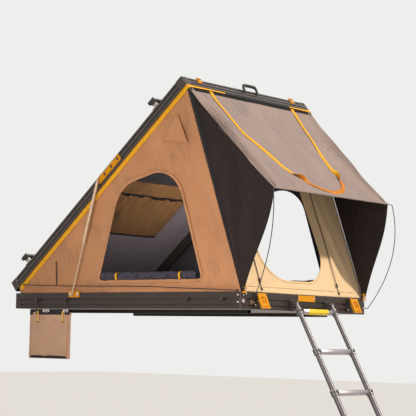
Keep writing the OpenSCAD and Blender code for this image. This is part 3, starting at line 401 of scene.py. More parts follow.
def banded_webbing(name, main, second, shade):
    """Woven strap: ribs across it and along it, darker in the valleys between them."""
    material, tree, shader, where = start_material(name, "UV")
    split = split_node(tree, where)
    ribs, cross = [math_node(tree, "SINE", turns_along(tree, split[i], n)) for i, n in ((1, 420), (0, 620))]
    twill = math_node(tree, "MULTIPLY", ribs, cross)
    fade = place_group(tree, FADE_AND_LIGHT, where, Main=paint(*main), Second=paint(*second), Size=7.0, Amount=0.55)
    valley = remap(tree, twill, -1.0, 0.2, 0.35, 0.0)
    set_shader(tree, shader, mix_colour(tree, valley, fade["Color"], paint(*shade)), 0.62,
        Sheen_Weight=0.06, Specular_IOR_Level=0.25)
    add_bump(tree, shader, twill, 0.5, 0.0005)
    return material


def braid(name, main, fleck):
    """Braided cord: crossing spirals along its length."""
    material, tree, shader, where = start_material(name, "UV")
    split = split_node(tree, where)
    spirals = [math_node(tree, "SINE", math_node(tree, way, turns_along(tree, split[1], 160),
        turns_along(tree, split[0], 4))) for way in ("ADD", "SUBTRACT")]
    plait = math_node(tree, "MAXIMUM", spirals[0], spirals[1])
    set_shader(tree, shader, mix_colour(tree, remap(tree, plait, 0.7, 1.0), paint(*main), paint(*fleck)), 0.75,
        Sheen_Weight=0.2)
    add_bump(tree, shader, plait, 0.5, 0.0004)
    return material


TAN = cloth("tan_canvas", (202, 143, 98), (170, 116, 79), crease_shade=(1.98, 0.36))
# Painted sunlight: the front wall is the same tan canvas as the side walls, painted paler as if in direct sun; its door
# binding and hem share it.
SUNLIT_TAN = cloth("front_canvas", (236, 203, 157), (220, 184, 138))
AWNING = cloth("awning_canvas", (164, 142, 133), (142, 122, 113), grid_shade=0.14, crease_shade=(1.1, 0.4))
WING = cloth("wing_cloth", (46, 36, 34), (32, 25, 24), sheen=0.06, size=6.0, crease_shade=(1.3, 0.5))
# Painted highlight and shade: the flap's main colour is the roll's highlight tone and its second the dark of its
# crumples, mixed in strong clouds over its own dark navy.
FLAP = cloth("flap_cloth", (74, 67, 84), (22, 20, 26), sheen=0.1, rough=0.44, size=20.0, amount=0.9, crease_shade=(0.4, 0.6))
# Painted shadow: near-black cloth for the strip that stands in for the shadow gap under the lid's front rail.
SHADOW_TAPE = cloth("head_tape", (15, 14, 15), (9, 8, 9), sheen=0.0)
# Painted shade: the walls' inner faces are dark grey, the shade of the tent's inside, where the canvas's back is tan.
INSIDE_SHADE = cloth("wall_inside", (72, 68, 71), (56, 52, 56), sheen=0.1)
LINER = cloth("ceiling_lining", (146, 132, 138), (120, 108, 114), threads=420, grid=30, sheen=0.3, size=4.0)
# Painted shade: the lining's head end, near the ridge, is painted dark as if in shade.
LINER_SHADED_HEAD = cloth("ceiling_head_lining", (58, 53, 55), (44, 40, 42), threads=420, grid=30, sheen=0.1, size=4.0)
POCKET = cloth("pocket_cloth", (150, 106, 63), (114, 80, 45), sheen=0.1, size=9.0, crease_shade=(1.2, 0.6))
BED = cloth("mattress_cover", (78, 76, 82), (58, 56, 62), threads=500, grid=60, sheen=0.5)
BAGCLOTH = cloth("bag_canvas", (208, 165, 134), (180, 138, 110), size=8.0)
ORANGE_STRAP = banded_webbing("orange_webbing", (255, 188, 12), (240, 160, 8), (180, 102, 6))
# Painted shade: the pull strap's underside is a darker copy of the orange webbing, as its shaded side.
STRAP_SHADE_SIDE = banded_webbing("strap_back", (224, 138, 6), (190, 100, 4), (104, 50, 2))
GOLD_TAB = banded_webbing("gold_tab", (238, 190, 100), (220, 166, 76), (150, 104, 40))
BAG_STRAP = banded_webbing("bag_webbing", (205, 150, 96), (184, 128, 78), (120, 78, 44))
BLACK_TAPE = banded_webbing("black_binding", (28, 26, 29), (20, 19, 21), (10, 9, 10))
BLACK_CORD = braid("black_braid", (26, 24, 25), (58, 54, 54))
PALE_ROPE = braid("pale_rope", (206, 190, 172), (160, 140, 120))
BASE_COAT = coated("base_rail_coat", (55, 44, 40), (128, 112, 100), 0.42, 0.3, dust=0.06, specular=0.4)
LID_COAT = coated("lid_rail_coat", (70, 61, 58), (150, 142, 142), 0.38, 0.35, dust=0.06)
ROOF_COAT = coated("roof_panel_coat", (62, 59, 60), (120, 116, 114), 0.5, 0.3, dust=0.22)
BAR_COAT = coated("roof_bar_coat", (60, 57, 57), (150, 146, 144), 0.4, 0.5, dust=0.2)
ORANGE_COAT = coated("orange_powder_coat", (220, 146, 2), (160, 116, 60), 0.42, dust=0.02, specular=0.18)
DARK_COAT = coated("black_powder_coat", (40, 37, 36), (120, 114, 110), 0.45, 0.2)
LADDER_COAT = coated("ladder_anodising", (98, 94, 96), (190, 184, 178), 0.42, 0.85, wear=0.0, dust=0.03,
    grain=160.0, relief=0.00001)
SPRING_COAT = coated("spring_rod_coat", (46, 46, 52), (110, 110, 116), 0.4, 0.6)
RAIL_COAT = coated("mounting_rail_coat", (34, 30, 29), (130, 122, 114), 0.5, 0.2, dust=0.04, specular=0.25)
STRUT = coated("strut_steel", (204, 176, 148), (224, 206, 188), 0.40, 0.35, wear=0.2, dust=0.05,
    grain=180.0, relief=0.00002)
FLOOR_COAT = coated("floor_panel_coat", (120, 112, 106), (170, 164, 158), 0.5, 0.3)
MILL = brushed("mill_aluminium", (196, 190, 182), (166, 158, 150), 0.38)
BRIGHT = brushed("bright_steel", (222, 214, 204), (196, 186, 176), 0.22)
TREAD = brushed("tread_aluminium", (186, 178, 184), (160, 152, 158), 0.36)
BLACK_PLASTIC = moulded("black_plastic", (30, 30, 33), (84, 82, 82))
GRIP = moulded("yellow_grip", (244, 206, 14), (190, 156, 30), rough=0.5)
RUBBER = moulded("black_rubber", (26, 26, 27), (60, 58, 58), rough=0.8, specular=0.2)


# Mesh makers

def add_piece(name, mesh, material):
    mesh.polygons.foreach_set("use_smooth", [True] * len(mesh.polygons))
    mesh.materials.append(material)
    piece = bpy.data.objects.new(name, mesh)
    bpy.context.scene.collection.objects.link(piece)
    return piece


def make(name, verts, faces, material, uvs=None):
    mesh = bpy.data.meshes.new(name)
    mesh.from_pydata([tuple(v) for v in verts], [], faces)
    if uvs is not None:
        layer = mesh.uv_layers.new(name="UVMap")
        for loop in mesh.loops:
            layer.data[loop.index].uv = uvs[loop.vertex_index]
    piece = add_piece(name, mesh, material)
    mesh.update()
    return piece


def thicken(piece, thickness):
    """Gives a sheet its thickness, so that its mesh is final."""
    solid = piece.modifiers.new("thickness", "SOLIDIFY")
    solid.thickness = thickness
    solid.offset = 0.0
    bpy.context.view_layer.update()
    done = bpy.data.meshes.new_from_object(piece.evaluated_get(bpy.context.evaluated_depsgraph_get()))
    done.name = piece.name
    piece.modifiers.clear()
    piece.data = done
    return piece


def recolour(piece, material, chosen):
    """A second colour on the faces that chosen picks."""
    piece.data.materials.append(material)
    for face in piece.data.polygons:
        if chosen(face):
            face.material_index = 1


def quads(nu, nv, start=0):
    """Faces of a grid of points, row by row."""
    corners = [start + i * (nu + 1) + j for i in range(nv) for j in range(nu)]
    return [(a, a + 1, a + nu + 2, a + nu + 1) for a in corners]


def loft(rings, sides, closed=False, capped=False):
    """Faces between rings of points; closed joins the last ring to the first, capped shuts both ends."""
    total = rings * sides
    faces = []
    for i in range(rings if closed else rings - 1):
        for k in range(sides):
            a, b = i * sides + k, i * sides + (k + 1) % sides
            faces.append((a, b, (b + sides) % total, (a + sides) % total))
    if capped:
        faces += [tuple(range(sides - 1, -1, -1)), tuple(range(total - sides, total))]
    return faces


def heading(path, i, closed=False):
    """The direction of a path at one of its points."""
    n = len(path)
    if closed:
        return (path[(i + 1) % n] - path[i - 1]).normalized()
    return (path[min(i + 1, n - 1)] - path[max(i - 1, 0)]).normalized()


def grid_piece(name, at, nu, nv, material, thickness):
    """A sheet from a function of two shares, with a UV map in metres."""
    rows = [[at(u, v) for u in shares(nu)] for v in shares(nv)]
    verts, uvs, down = [], [], 0.0
    for i, row in enumerate(rows):
        if i:
            down += (row[nu // 2] - rows[i - 1][nu // 2]).length
        steps = [(b - a).length for a, b in zip(row, row[1:])]
        half = sum(steps) / 2
        verts += row
        uvs += [(run - half, down) for run in accumulate(steps, initial=0.0)]
    return thicken(make(name, verts, quads(nu, nv), material, uvs), thickness)


def tube_piece(name, path, radius, material, sides=10, ref=Y, closed=False):
    """A round tube along points; radius is a number or a function of the share along it."""
    verts, uvs, run = [], [], 0.0
    for i, p in enumerate(path):
        along = heading(path, i, closed)
        u = ref.cross(along)
        u = u.normalized() if u.length > 1e-4 else along.orthogonal().normalized()
        v = along.cross(u)
        if i:
            run += (p - path[i - 1]).length
        r = radius(i / (len(path) - 1)) if callable(radius) else radius
        for k, a in enumerate(round_turn(sides)):
            verts.append(p + (u * math.cos(a) + v * math.sin(a)) * r)
            uvs.append((k / sides, run))
    return make(name, verts, loft(len(path), sides, closed, not closed), material, uvs)


STRAP_SECTION = [(-1, 0.35), (-0.94, 1), (0, 1.12), (0.94, 1), (1, 0.35),
    (1, -0.35), (0.94, -1), (0, -1.12), (-0.94, -1), (-1, -0.35)]


def strap_piece(name, path, across, width, thick, material, back=None):
    """A flat strap along points; across is its width direction, or one for each point; back paints its underside a
    darker colour as painted shade.
    """
    n, m = len(path), len(STRAP_SECTION)
    verts, uvs, run = [], [], 0.0
    for i, p in enumerate(path):
        along = heading(path, i)
        w = across[i] if isinstance(across, list) else across
        w = (w - along * w.dot(along)).normalized()
        up = along.cross(w)
        if i:
            run += (p - path[i - 1]).length
        wide = width(i / (n - 1)) if callable(width) else width
        for s, t in STRAP_SECTION:
            verts.append(p + w * (s * wide / 2) + up * (t * thick / 2))
            uvs.append((s * wide / 2, run))
    strap = make(name, verts, loft(n, m, capped=True), material, uvs)
    if back:
        recolour(strap, back, lambda face: face.index < (n - 1) * m and not 5 <= face.index % m <= 8)
    return strap


def smooth_path(points, steps=8):
    """A smooth curve through points."""
    out = []
    for i in range(len(points) - 1):
        p0, p1 = points[max(i - 1, 0)], points[i]
        p2, p3 = points[i + 1], points[min(i + 2, len(points) - 1)]
        for k in range(steps):
            t = k / steps
            out.append(0.5 * ((2 * p1) + (p2 - p0) * t + (2 * p0 - 5 * p1 + 4 * p2 - p3) * t * t
                + (3 * p1 - p0 - 3 * p2 + p3) * t * t * t))
    out.append(points[-1])
    return out


def block_piece(name, size, place, material, round_by):
    """A block with rounded edges; place is a matrix or a point."""
    bm = bmesh.new()
    bmesh.ops.create_cube(bm, size=1.0)
    bmesh.ops.scale(bm, vec=size, verts=bm.verts)
    bmesh.ops.bevel(bm, geom=bm.edges[:], offset=round_by, segments=3, affect="EDGES", profile=0.6)
    mesh = bpy.data.meshes.new(name)
    bm.transform(place if isinstance(place, Matrix) else Matrix.Translation(place))
    bm.to_mesh(mesh)
    bm.free()
    return add_piece(name, mesh, material)


def turned_piece(name, profile, place, material, sides):
    """A turned form: profile gives (radius, height) pairs about its own z axis."""
    verts = [place @ Vector((r * math.cos(a), r * math.sin(a), h)) for r, h in profile for a in round_turn(sides)]
    return make(name, verts, loft(len(profile), sides, capped=True), material)


def join(name, pieces):
    """One piece out of several with the same body."""
    for o in bpy.context.selected_objects:
        o.select_set(False)
    for o in pieces:
        o.select_set(True)
    bpy.context.view_layer.objects.active = pieces[0]
    bpy.ops.object.join()
    whole = bpy.context.view_layer.objects.active
    whole.name = name
    whole.data.name = name
    return whole


def facing(origin, z_axis, x_hint=X):
    """A frame at origin whose z axis is the given one."""
    z = z_axis.normalized()
    x = x_hint - z * x_hint.dot(z)
    x = x.normalized() if x.length > 1e-5 else z.orthogonal().normalized()
    return Matrix.Translation(origin) @ Matrix((x, z.cross(x), z)).transposed().to_4x4()


def hull_of(circles, count=72):
    """Outline of the convex hull round circles, as points in order."""
    pts = sorted((cx + r * math.cos(a), cy + r * math.sin(a)) for cx, cy, r in circles for a in round_turn(count))

    def half(points):
        out = []
        for p in points:
            while len(out) > 1 and ((out[-1][0] - out[-2][0]) * (p[1] - out[-2][1])
                                    - (out[-1][1] - out[-2][1]) * (p[0] - out[-2][0])) <= 0:
                out.pop()
            out.append(p)
        return out
    low, high = half(pts), half(pts[::-1])
    return low[:-1] + high[:-1]


def ray_to(outline, centre, direction):
    """Distance from centre to a convex outline."""
    best = None
    for i, a in enumerate(outline):
        b = outline[(i + 1) % len(outline)]
        ex, ey = b[0] - a[0], b[1] - a[1]
        det = direction[0] * ey - direction[1] * ex
        if abs(det) < 1e-12:
            continue
        t = ((a[0] - centre[0]) * ey - (a[1] - centre[1]) * ex) / det
        u = ((a[0] - centre[0]) * direction[1] - (a[1] - centre[1]) * direction[0]) / det
        if t > 0 and -1e-9 <= u <= 1 + 1e-9:
            best = t if best is None else min(best, t)
    return best


def even(outline, step):
    """The same closed outline with points a step apart."""
    out = []
    for i, a in enumerate(outline):
        b = outline[(i + 1) % len(outline)]
        n = max(1, round(math.hypot(b[0] - a[0], b[1] - a[1]) / step))
        out += [(mix(a[0], b[0], k / n), mix(a[1], b[1], k / n)) for k in range(n)]
    return out


def holed_sheet(name, outer, hole, centre, lift, rings, step, material, thickness):
    """A flat cut with a hole: rings run from the hole to the edge; lift puts a 2-D point in space."""
    edge = even(outer, step)
    verts, uvs = [], []
    for s in shares(rings):
        for e in edge:
            d = (e[0] - centre[0], e[1] - centre[1])
            far = math.hypot(*d)
            near = ray_to(hole, centre, (d[0] / far, d[1] / far)) / far
            t = mix(near, 1.0, s ** 1.15)
            p = (centre[0] + d[0] * t, centre[1] + d[1] * t)
            verts.append(lift(p[0], p[1], s))
            uvs.append(p)
    return thicken(make(name, verts, loft(rings + 1, len(edge)), material, uvs), thickness)


TAPE_SECTION = [(0.0, 0.2), (0.0, 0.9), (0.12, 1.0), (0.5, 1.06), (0.88, 1.0), (1.0, 0.2)]


def outline_tape(name, outline, width, lift, material):
    """A flat tape sewn round a closed outline; lift(a, b, height) puts a point in space."""
    m = len(outline)
    verts, uvs, run = [], [], 0.0
    for i, p in enumerate(outline):
        a, b = outline[i - 1], outline[(i + 1) % m]
        tx, ty = b[0] - a[0], b[1] - a[1]
        length = math.hypot(tx, ty)
        nx, ny = ty / length, -tx / length
        if i:
            run += math.hypot(p[0] - a[0], p[1] - a[1])
        for s, h in TAPE_SECTION:
            o = s * width
            verts.append(lift(p[0] + nx * o, p[1] + ny * o, h * TAPE))
            uvs.append((o, run))
    return make(name, verts, loft(m, len(TAPE_SECTION), closed=True), material, uvs)


def fold_under_lid(piece, side=1):
    """Sets the piece on the lid, with a mesh of its own."""
    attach(piece, "lid")
    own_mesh(piece)


def fold_to_ridge(piece):
    """Sets the piece on the lid, with a mesh of its own."""
    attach(piece, "lid")
    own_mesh(piece)


def hang(pieces, side=1):
    for piece in pieces:
        fold_under_lid(piece, side)


def fit(pieces, slot, body):
    for piece in pieces:
        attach(piece, body)


# Side walls
WALL_FOOT, WALL_HEAD = BASE_TOP + 0.0006, LID_LOW - 0.0006
WALL_REAR, WALL_FRONT = REAR + RAIL, FRONT - 0.012
WALL_EDGE = [(WALL_REAR, WALL_FOOT), (WALL_FRONT, WALL_FOOT)]
WALL_EDGE += [(p.x, p.z) for p in (on_lid(WALL_FRONT, 0, WALL_HEAD), on_lid(WALL_REAR, 0, WALL_HEAD))]
WINDOW = hull_of([(REAR + 0.875, BASE_TOP + 0.105, 0.020), (REAR + 1.770, BASE_TOP + 0.105, 0.020),
    (REAR + 1.215, BASE_TOP + 0.545, 0.230), (REAR + 1.380, BASE_TOP + 0.575, 0.240)])
WINDOW_MIDDLE = (REAR + 1.310, BASE_TOP + 0.42)
FRONT_EDGE_L = 1.486
EDGE_ALONG = [(WALL_EDGE[2][i] - WALL_EDGE[1][i]) / FRONT_EDGE_L for i in (0, 1)]


def drawn_fold(x, z, lean, size, seed):
    """A soft fold drawn out along one direction, from -1 to 1."""
    along, over = x * math.cos(lean) + z * math.sin(lean), z * math.cos(lean) - x * math.sin(lean)
    return wobble(along / 4.5, over, 0, size, seed)


def crease(x, z, lean, size, seed):
    """Thin lines where a drawn fold turns over, 1 at a line and 0 away from it."""
    return (1 - min(1.0, 2.1 * abs(drawn_fold(x, z, lean, size, seed)))) ** 2


def held_at_seams(s, power):
    return math.sin(math.pi * min(1.0, max(0.0, s))) ** power


def wall_relief(x, z, s):
    """How far the canvas stands in from its flat cut: soft folds and creases that die out at every seam."""
    across = x * EDGE_ALONG[1] - z * EDGE_ALONG[0]
    front, head, tail = smooth(0.56, 0.78, across), smooth(0.80, 1.0, z), smooth(0.05, -0.35, x)
    h = 0.009 + 0.0055 * wobble(x, 0, z, 0.17, 3.0) + 0.0020 * wobble(x, 0, z, 0.055, 9.0)
    h += 0.0130 * front * drawn_fold(x, z, 1.98, 0.10, 2.5) + 0.0090 * front * drawn_fold(x, z, 2.3, 0.06, 6.0)
    h += 0.0022 * front * crease(x, z, 1.92, 0.12, 2.0) + 0.0034 * front * drawn_fold(x, z, 2.02, 0.034, 9.0)
    h += 0.0100 * head * drawn_fold(x, z, 1.2, 0.08, 5.0) + 0.0022 * head * crease(x, z, 0.2, 0.08, 12.0)
    h += 0.0085 * tail * drawn_fold(x, z, 0.72, 0.09, 4.0) + 0.0014 * crease(x, z, 1.5, 0.10, 8.0)
    return max(0.0, h) * held_at_seams(s, 0.6)


def build_side_wall(side, word):
    def lift(x, z, s):
        return Vector((x, side * (WALL_Y - SKIN - wall_relief(x, z, s)), z))

    def tape_lift(x, z, h):
        return Vector((x, side * (WALL_Y - 0.0006 + h), z))
    wall = holed_sheet("wall_canvas_" + word, WALL_EDGE, WINDOW, WINDOW_MIDDLE, lift, 48, 0.016, TAN, CANVAS)
    # Painted shade on the wall's inner face.
    recolour(wall, INSIDE_SHADE, lambda face: face.normal.dot(Y * -side) > 0.5)
    hem = outline_tape("window_hem_" + word, even(WINDOW, 0.012), 0.020, tape_lift, TAN)
    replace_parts(wall, "side_wall_" + word)
    hang([wall, hem])


for side, word in SIDES:
    build_side_wall(side, word)

# Front wall, with the door
FOOT = Vector((FRONT - 0.014, 0, WALL_FOOT))
HEAD = on_lid(FRONT - 0.014, 0, LID_LOW - 0.002)
RISE = (HEAD - FOOT).normalized()
OUT = Vector((RISE.z, 0, -RISE.x))
FRONT_L = (HEAD - FOOT).length
FRONT_HALF = WALL_Y - 0.003
DOOR_HALF, DOOR_Y, DOOR_SILL, DOOR_R = 0.353, -0.040, 0.098, 0.250
ARCH_R = DOOR_HALF * 0.9
DOOR = hull_of([(DOOR_Y - DOOR_HALF + DOOR_R, DOOR_SILL + DOOR_R, DOOR_R),
    (DOOR_Y + DOOR_HALF - DOOR_R, DOOR_SILL + DOOR_R, DOOR_R), (DOOR_Y, FRONT_L - 0.260 - ARCH_R, ARCH_R)])
DOOR_MIDDLE = (DOOR_Y, 0.62)


def on_front(a, b, h):
    """A point of the front wall: across it, up it and out from it."""
    return FOOT + RISE * b + Y * a + OUT * h


def front_relief(a, b, s):
    h = -0.004 + 0.0035 * math.sin(math.tau * (abs(a) + 0.25 * b) / 0.12) * smooth(0.34, 0.5, abs(a + 0.04))
    return held_at_seams(s, 0.8) * (h + 0.004 * wobble(a, b, 0, 0.2, 7.0))


def build_front_wall():
    low, high = 0.002, FRONT_L - 0.002
    cut = [(-FRONT_HALF, low), (FRONT_HALF, low), (FRONT_HALF, high), (-FRONT_HALF, high)]
    # Painted sunlight: the front wall is cut in the paler copy of the tan canvas.
    wall = holed_sheet("wall_canvas_front", cut, DOOR, DOOR_MIDDLE,
        lambda a, b, s: on_front(a, b, -SKIN + front_relief(a, b, s)), 24, 0.022, SUNLIT_TAN, CANVAS)
    # Painted shade on the wall's inner face.
    recolour(wall, INSIDE_SHADE, lambda face: face.normal.dot(-OUT) > 0.5)
    binding = outline_tape("door_binding", even(DOOR, 0.014), 0.014, on_front, SUNLIT_TAN)
    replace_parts(wall, "front_wall")
    hang([wall, binding])


build_front_wall()

# Awning: one sheet from the ridge to its front edge, with pleats along both side hems
SAG = 0.018


def awning_half(v):
    return mix(WALL_Y, EAVE_HALF, v)


def awning_at(u, v):
    """u runs from -1 to 1 across, v from 0 at the ridge to 1 at the front edge."""
    centre = mix(RIDGE, EAVE, v)
    dip = SAG * 4 * v * (1 - v) + 0.005 * math.sin(3 * math.pi * v + math.pi / 2 * u) * v * (1 - v) * abs(u)
    return Vector((centre.x - dip * 0.7, u * awning_half(v), centre.z - dip * 0.7))


def awning_folds(u, v):
    """Pleats that fan out along both side hems from the front corners, over a soft sag."""
    h = 0.0
    for side, depth in ((-1, 1.0), (1, 0.6)):
        gap = (1 - side * u) * awning_half(v)
        pitch = mix(0.052, 0.020, v * v)
        fade = smooth(4.2 * pitch, 0.6 * pitch, gap) * smooth(0.04, 0.45, v) * smooth(1.0, 0.96, v)
        h += depth * 0.30 * pitch * fade * math.sin(math.tau * gap / pitch + 1.2 * math.sin(4 * v))
    h += 0.0035 * math.sin(math.tau * (0.8 * u + 0.9 * v) / 0.55) * v * (1 - v) * 4
    held = min(1.0, 6 * v) * min(1.0, 8 * (1 - v))
    h += (0.0035 * wobble(u * 0.68, v, 0, 0.17, 11.0) - 0.0022 * crease(u * 0.68, v, 1.45, 0.10, 21.0)) * held
    return h


def over_awning(u, v, height):
    """A point above the folded awning."""
    return awning_at(u, v) + AWNING_UP * (height + awning_folds(u, v))


def build_awning():
    def at(u, v):
        return over_awning(2 * u - 1, v, SKIN)
    top = grid_piece("awning_canvas", at, 240, 72, AWNING, CANVAS)
    hem = tube_piece("awning_front_hem", [awning_at(2 * t - 1, 0.995) - Z * 0.002 for t in shares(60)],
        lambda t: 0.0062 + 0.0008 * math.sin(40 * t), AWNING, 12, X)
    seams = [strap_piece("awning_seam_" + word, [over_awning(side * 0.955, t, 0.0032) for t in shares(50)],
        Y, 0.012, 0.0014, AWNING) for side, word in ENDS]
    # Painted shadow: a near-black strip along the awning's head, for the shadow gap under the lid's front rail.
    head = grid_piece("awning_head_tape",
        lambda u, v: at(mix(0.004, 0.996, u), mix(0.004, 0.050, v)) + AWNING_UP * 0.0010, 60, 6, SHADOW_TAPE, 0.0012)
    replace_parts(top, "awning_top")
    for piece in [top, hem, head] + seams:
        fold_to_ridge(piece)


build_awning()

# Wings: dark cloth between the awning's side, the front wall and an S-shaped free edge
WING_FOOT = Vector((FRONT - 0.010, -WALL_Y, BASE_TOP + 0.0004))


def wing_at(side, u, v):
    """u runs from the front wall to the free edge, v from the awning down to the base."""
    p = mix(awning_at(-1, u), WING_FOOT + X * (0.016 * u), v)
    pull = math.sin(math.pi * u)
    bulge = 0.018 * (math.sin(math.pi * v) + 0.6 * math.sin(2 * math.pi * v)) * u
    fold = 0.011 * math.sin(4 * math.pi * u + math.pi / 3 * v) * pull * (1 - v)
    fold += 0.006 * math.sin(math.tau * (3.2 * u + 0.9 * v)) * pull * smooth(0.1, 0.4, v) * (1 - v)
    fold += 0.004 * wobble(u, v, 0, 0.22, 5.0 + side) * pull
    fold += 0.005 * drawn_fold(u * 0.66, v * 1.2, 1.25, 0.07, 4.0 + side) * pull * smooth(0.7, 0.4, v)
    p += Vector((bulge, fold + SKIN, -0.003 * (1 - v)))
    return Vector((p.x, -side * p.y, p.z))


def build_wing(side, word):
    wing = grid_piece("wing_cloth_" + word, lambda u, v: wing_at(side, u, v), 48, 56, WING, CANVAS)
    hem = tube_piece("wing_hem_" + word, [wing_at(side, 1.0, t) for t in shares(60)], 0.0032, BLACK_TAPE, 8)
    band = grid_piece("wing_band_" + word,
        lambda u, v: wing_at(side, 0.012 + 0.075 * u, v) + Y * (side * 0.0022), 6, 56, BLACK_TAPE, 0.0014)
    for piece in (wing, hem, band):
        fold_to_ridge(piece)
    return wing


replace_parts(build_wing(-1, "near"), "awning_wings")
build_wing(1, "far")

# Window flaps, rolled up and lying on the sills, each held by two ties
ROLL_X0, ROLL_X1, ROLL_Z, ROLL_R, ROLL_Y = REAR + 0.891, REAR + 1.754, 0.2505, 0.0272, 0.68675
ROLL_TURNS = 8
TIES = (0.16, 0.84)


def roll_girth(t):
    """How far the roll is drawn in, by the share along it."""
    pinch = sum(math.exp(-((t - tie) / 0.035) ** 2) for tie in TIES)
    slack = 0.08 * math.sin(9 * math.pi * t + 0.6) + 0.06 * math.sin(23 * t) + 0.05 * math.sin(41 * t + 2)
    return 1 - 0.24 * min(1.0, pinch) + slack * (1 - min(1.0, pinch))


def build_roll(side, word):
    def round_roll(x, r, a):
        return Vector((x, side * (ROLL_Y - r * math.cos(a)), ROLL_Z + r * math.sin(a)))

    def at(u, v):
        a = math.tau * ROLL_TURNS * u + 0.4 * side
        c, s = math.cos(a), math.sin(a)
        r = mix(0.0022, ROLL_R, u) * roll_girth(v)
        r *= 1 + 0.03 * u * math.sin(2 * a + 11 * v) + 0.26 * u * wobble(v * 9, c, s, 0.55, 2.0)
        r *= 1 - 0.26 * u * (1 - min(1.0, 3 * abs(wobble(v * 15 + c, c, s, 0.8, 7.0)))) ** 2
        return round_roll(mix(ROLL_X0, ROLL_X1, v), r, a)
    roll = grid_piece("window_flap_" + word, at, ROLL_TURNS * 22, 120, FLAP, 0.0014)
    ties = []
    for k, tie in enumerate(TIES, 1):
        x = mix(ROLL_X0, ROLL_X1, tie)
        r = ROLL_R * roll_girth(tie) + 0.0022
        loop = [round_roll(x, r, math.tau * i / 28 - 1.9) for i in range(30)]
        tail = [Vector((x + 0.003, side * (ROLL_Y + r * 0.97), ROLL_Z - 0.014 * i)) for i in range(3)]
        ties.append(strap_piece("flap_tie_%s_%d" % (word, k), loop, X, 0.016, 0.0016, ORANGE_STRAP))
        ties.append(strap_piece("flap_tie_tail_%s_%d" % (word, k), tail, X, 0.012, 0.0014, ORANGE_STRAP))
    hang([roll], side)
    hang(ties, side)
    return roll


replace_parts(build_roll(-1, "left"), "window_rolls")
build_roll(1, "right")

# Vent hoods: a sewn triangle whose lower edge stands out
VENT_REAR, VENT_FRONT = (REAR + 1.424, BASE_TOP + 1.034), (REAR + 1.650, BASE_TOP + 1.000)
VENT_TOP = (REAR + 1.5530, BASE_TOP + 1.200)


def build_vent(side, word):
    def at(u, v):
        low = (mix(VENT_REAR[0], VENT_FRONT[0], u), mix(VENT_REAR[1], VENT_FRONT[1], u))
        share = max(0.02, v)
        out = 0.0022 + 0.015 * math.sin(math.pi * u) * v ** 1.3 + 0.0012 * math.sin(5 * math.pi * u) * v
        return Vector((mix(VENT_TOP[0], low[0], share), side * (WALL_Y + out), mix(VENT_TOP[1], low[1], share)))
    hood = grid_piece("vent_hood_" + word, at, 24, 20, TAN, 0.0016)
    lip = tube_piece("vent_lip_" + word, [at(t, 1.0) for t in shares(24)], 0.0028, TAN, 8)
    seams = [strap_piece("vent_seam_%s_%d" % (word, e), [at(e, 0.02 + 0.049 * k) + Y * (side * 0.0012)
        for k in range(21)], X, 0.009, 0.0012, TAN) for e in (0, 1)]
    hang([hood, lip] + seams, side)
    return hood


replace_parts(build_vent(-1, "left"), "vent_hoods")
build_vent(1, "right")

# Bungee along each side wall, knotted at both ends, in shares of the base's length and height
BUNGEE = [(0.039, 0.54), (0.195, 0.46), (0.386, 0.41), (0.586, 0.36), (0.79, 0.21), (0.981, 0.07)]
BASE_L, BASE_H, BUNGEE_Y, CORD_R = 2.15, 0.112, 0.6938, 0.003


def build_bungee(side, word):
    route = [Vector((REAR + a * BASE_L, side * BUNGEE_Y, BASE_TOP + b * BASE_H)) for a, b in BUNGEE]
    path = smooth_path(route, 10)
    cord = tube_piece("bungee_" + word, path, CORD_R, BLACK_CORD, 10)
    knots = []
    for k, end in enumerate((path[0], path[-1]), 1):
        knot = [end + Vector((0.006 * math.cos(a), 0, 0.005 * math.sin(a) + 0.001 * math.sin(2 * a)))
                for a in round_turn(20)]
        knots.append(tube_piece("bungee_knot_%s_%d" % (word, k), knot, 0.0029, BLACK_CORD, 8, closed=True))
    hang([cord] + knots, side)
    return cord


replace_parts(build_bungee(-1, "left"), "closing_bungee")
build_bungee(1, "right")

# Cords down the front wall, each with a barrel lock above its knot
LOCK = [(0.002, -0.016), (0.0055, -0.015), (0.0068, -0.006), (0.0062, 0.0), (0.0068, 0.006), (0.0055, 0.015),
    (0.002, 0.016)]
KNOT = [(0.001, -0.010), (0.0045, -0.008), (0.0055, 0.0), (0.004, 0.007), (0.001, 0.009)]


def build_front_cord(y, word):
    path = [on_front(y + 0.004 * math.sin(7 * t), mix(0.024, FRONT_L - 0.036, t), 0.0034) for t in shares(60)]
    cord = tube_piece("front_cord_" + word, path, CORD_R, BLACK_CORD, 8)
    lock = turned_piece("cord_lock_" + word, LOCK, facing(on_front(y + 0.001, 0.085, 0.0055), RISE, Y),
        BLACK_PLASTIC, 16)
    end = turned_piece("cord_end_" + word, KNOT, facing(on_front(y, 0.024, 0.0056), RISE, Y), BLACK_CORD, 14)
    hang([cord, lock, end])
    return cord


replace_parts(build_front_cord(-0.464, "near"), "front_cords")
build_front_cord(0.404, "far")


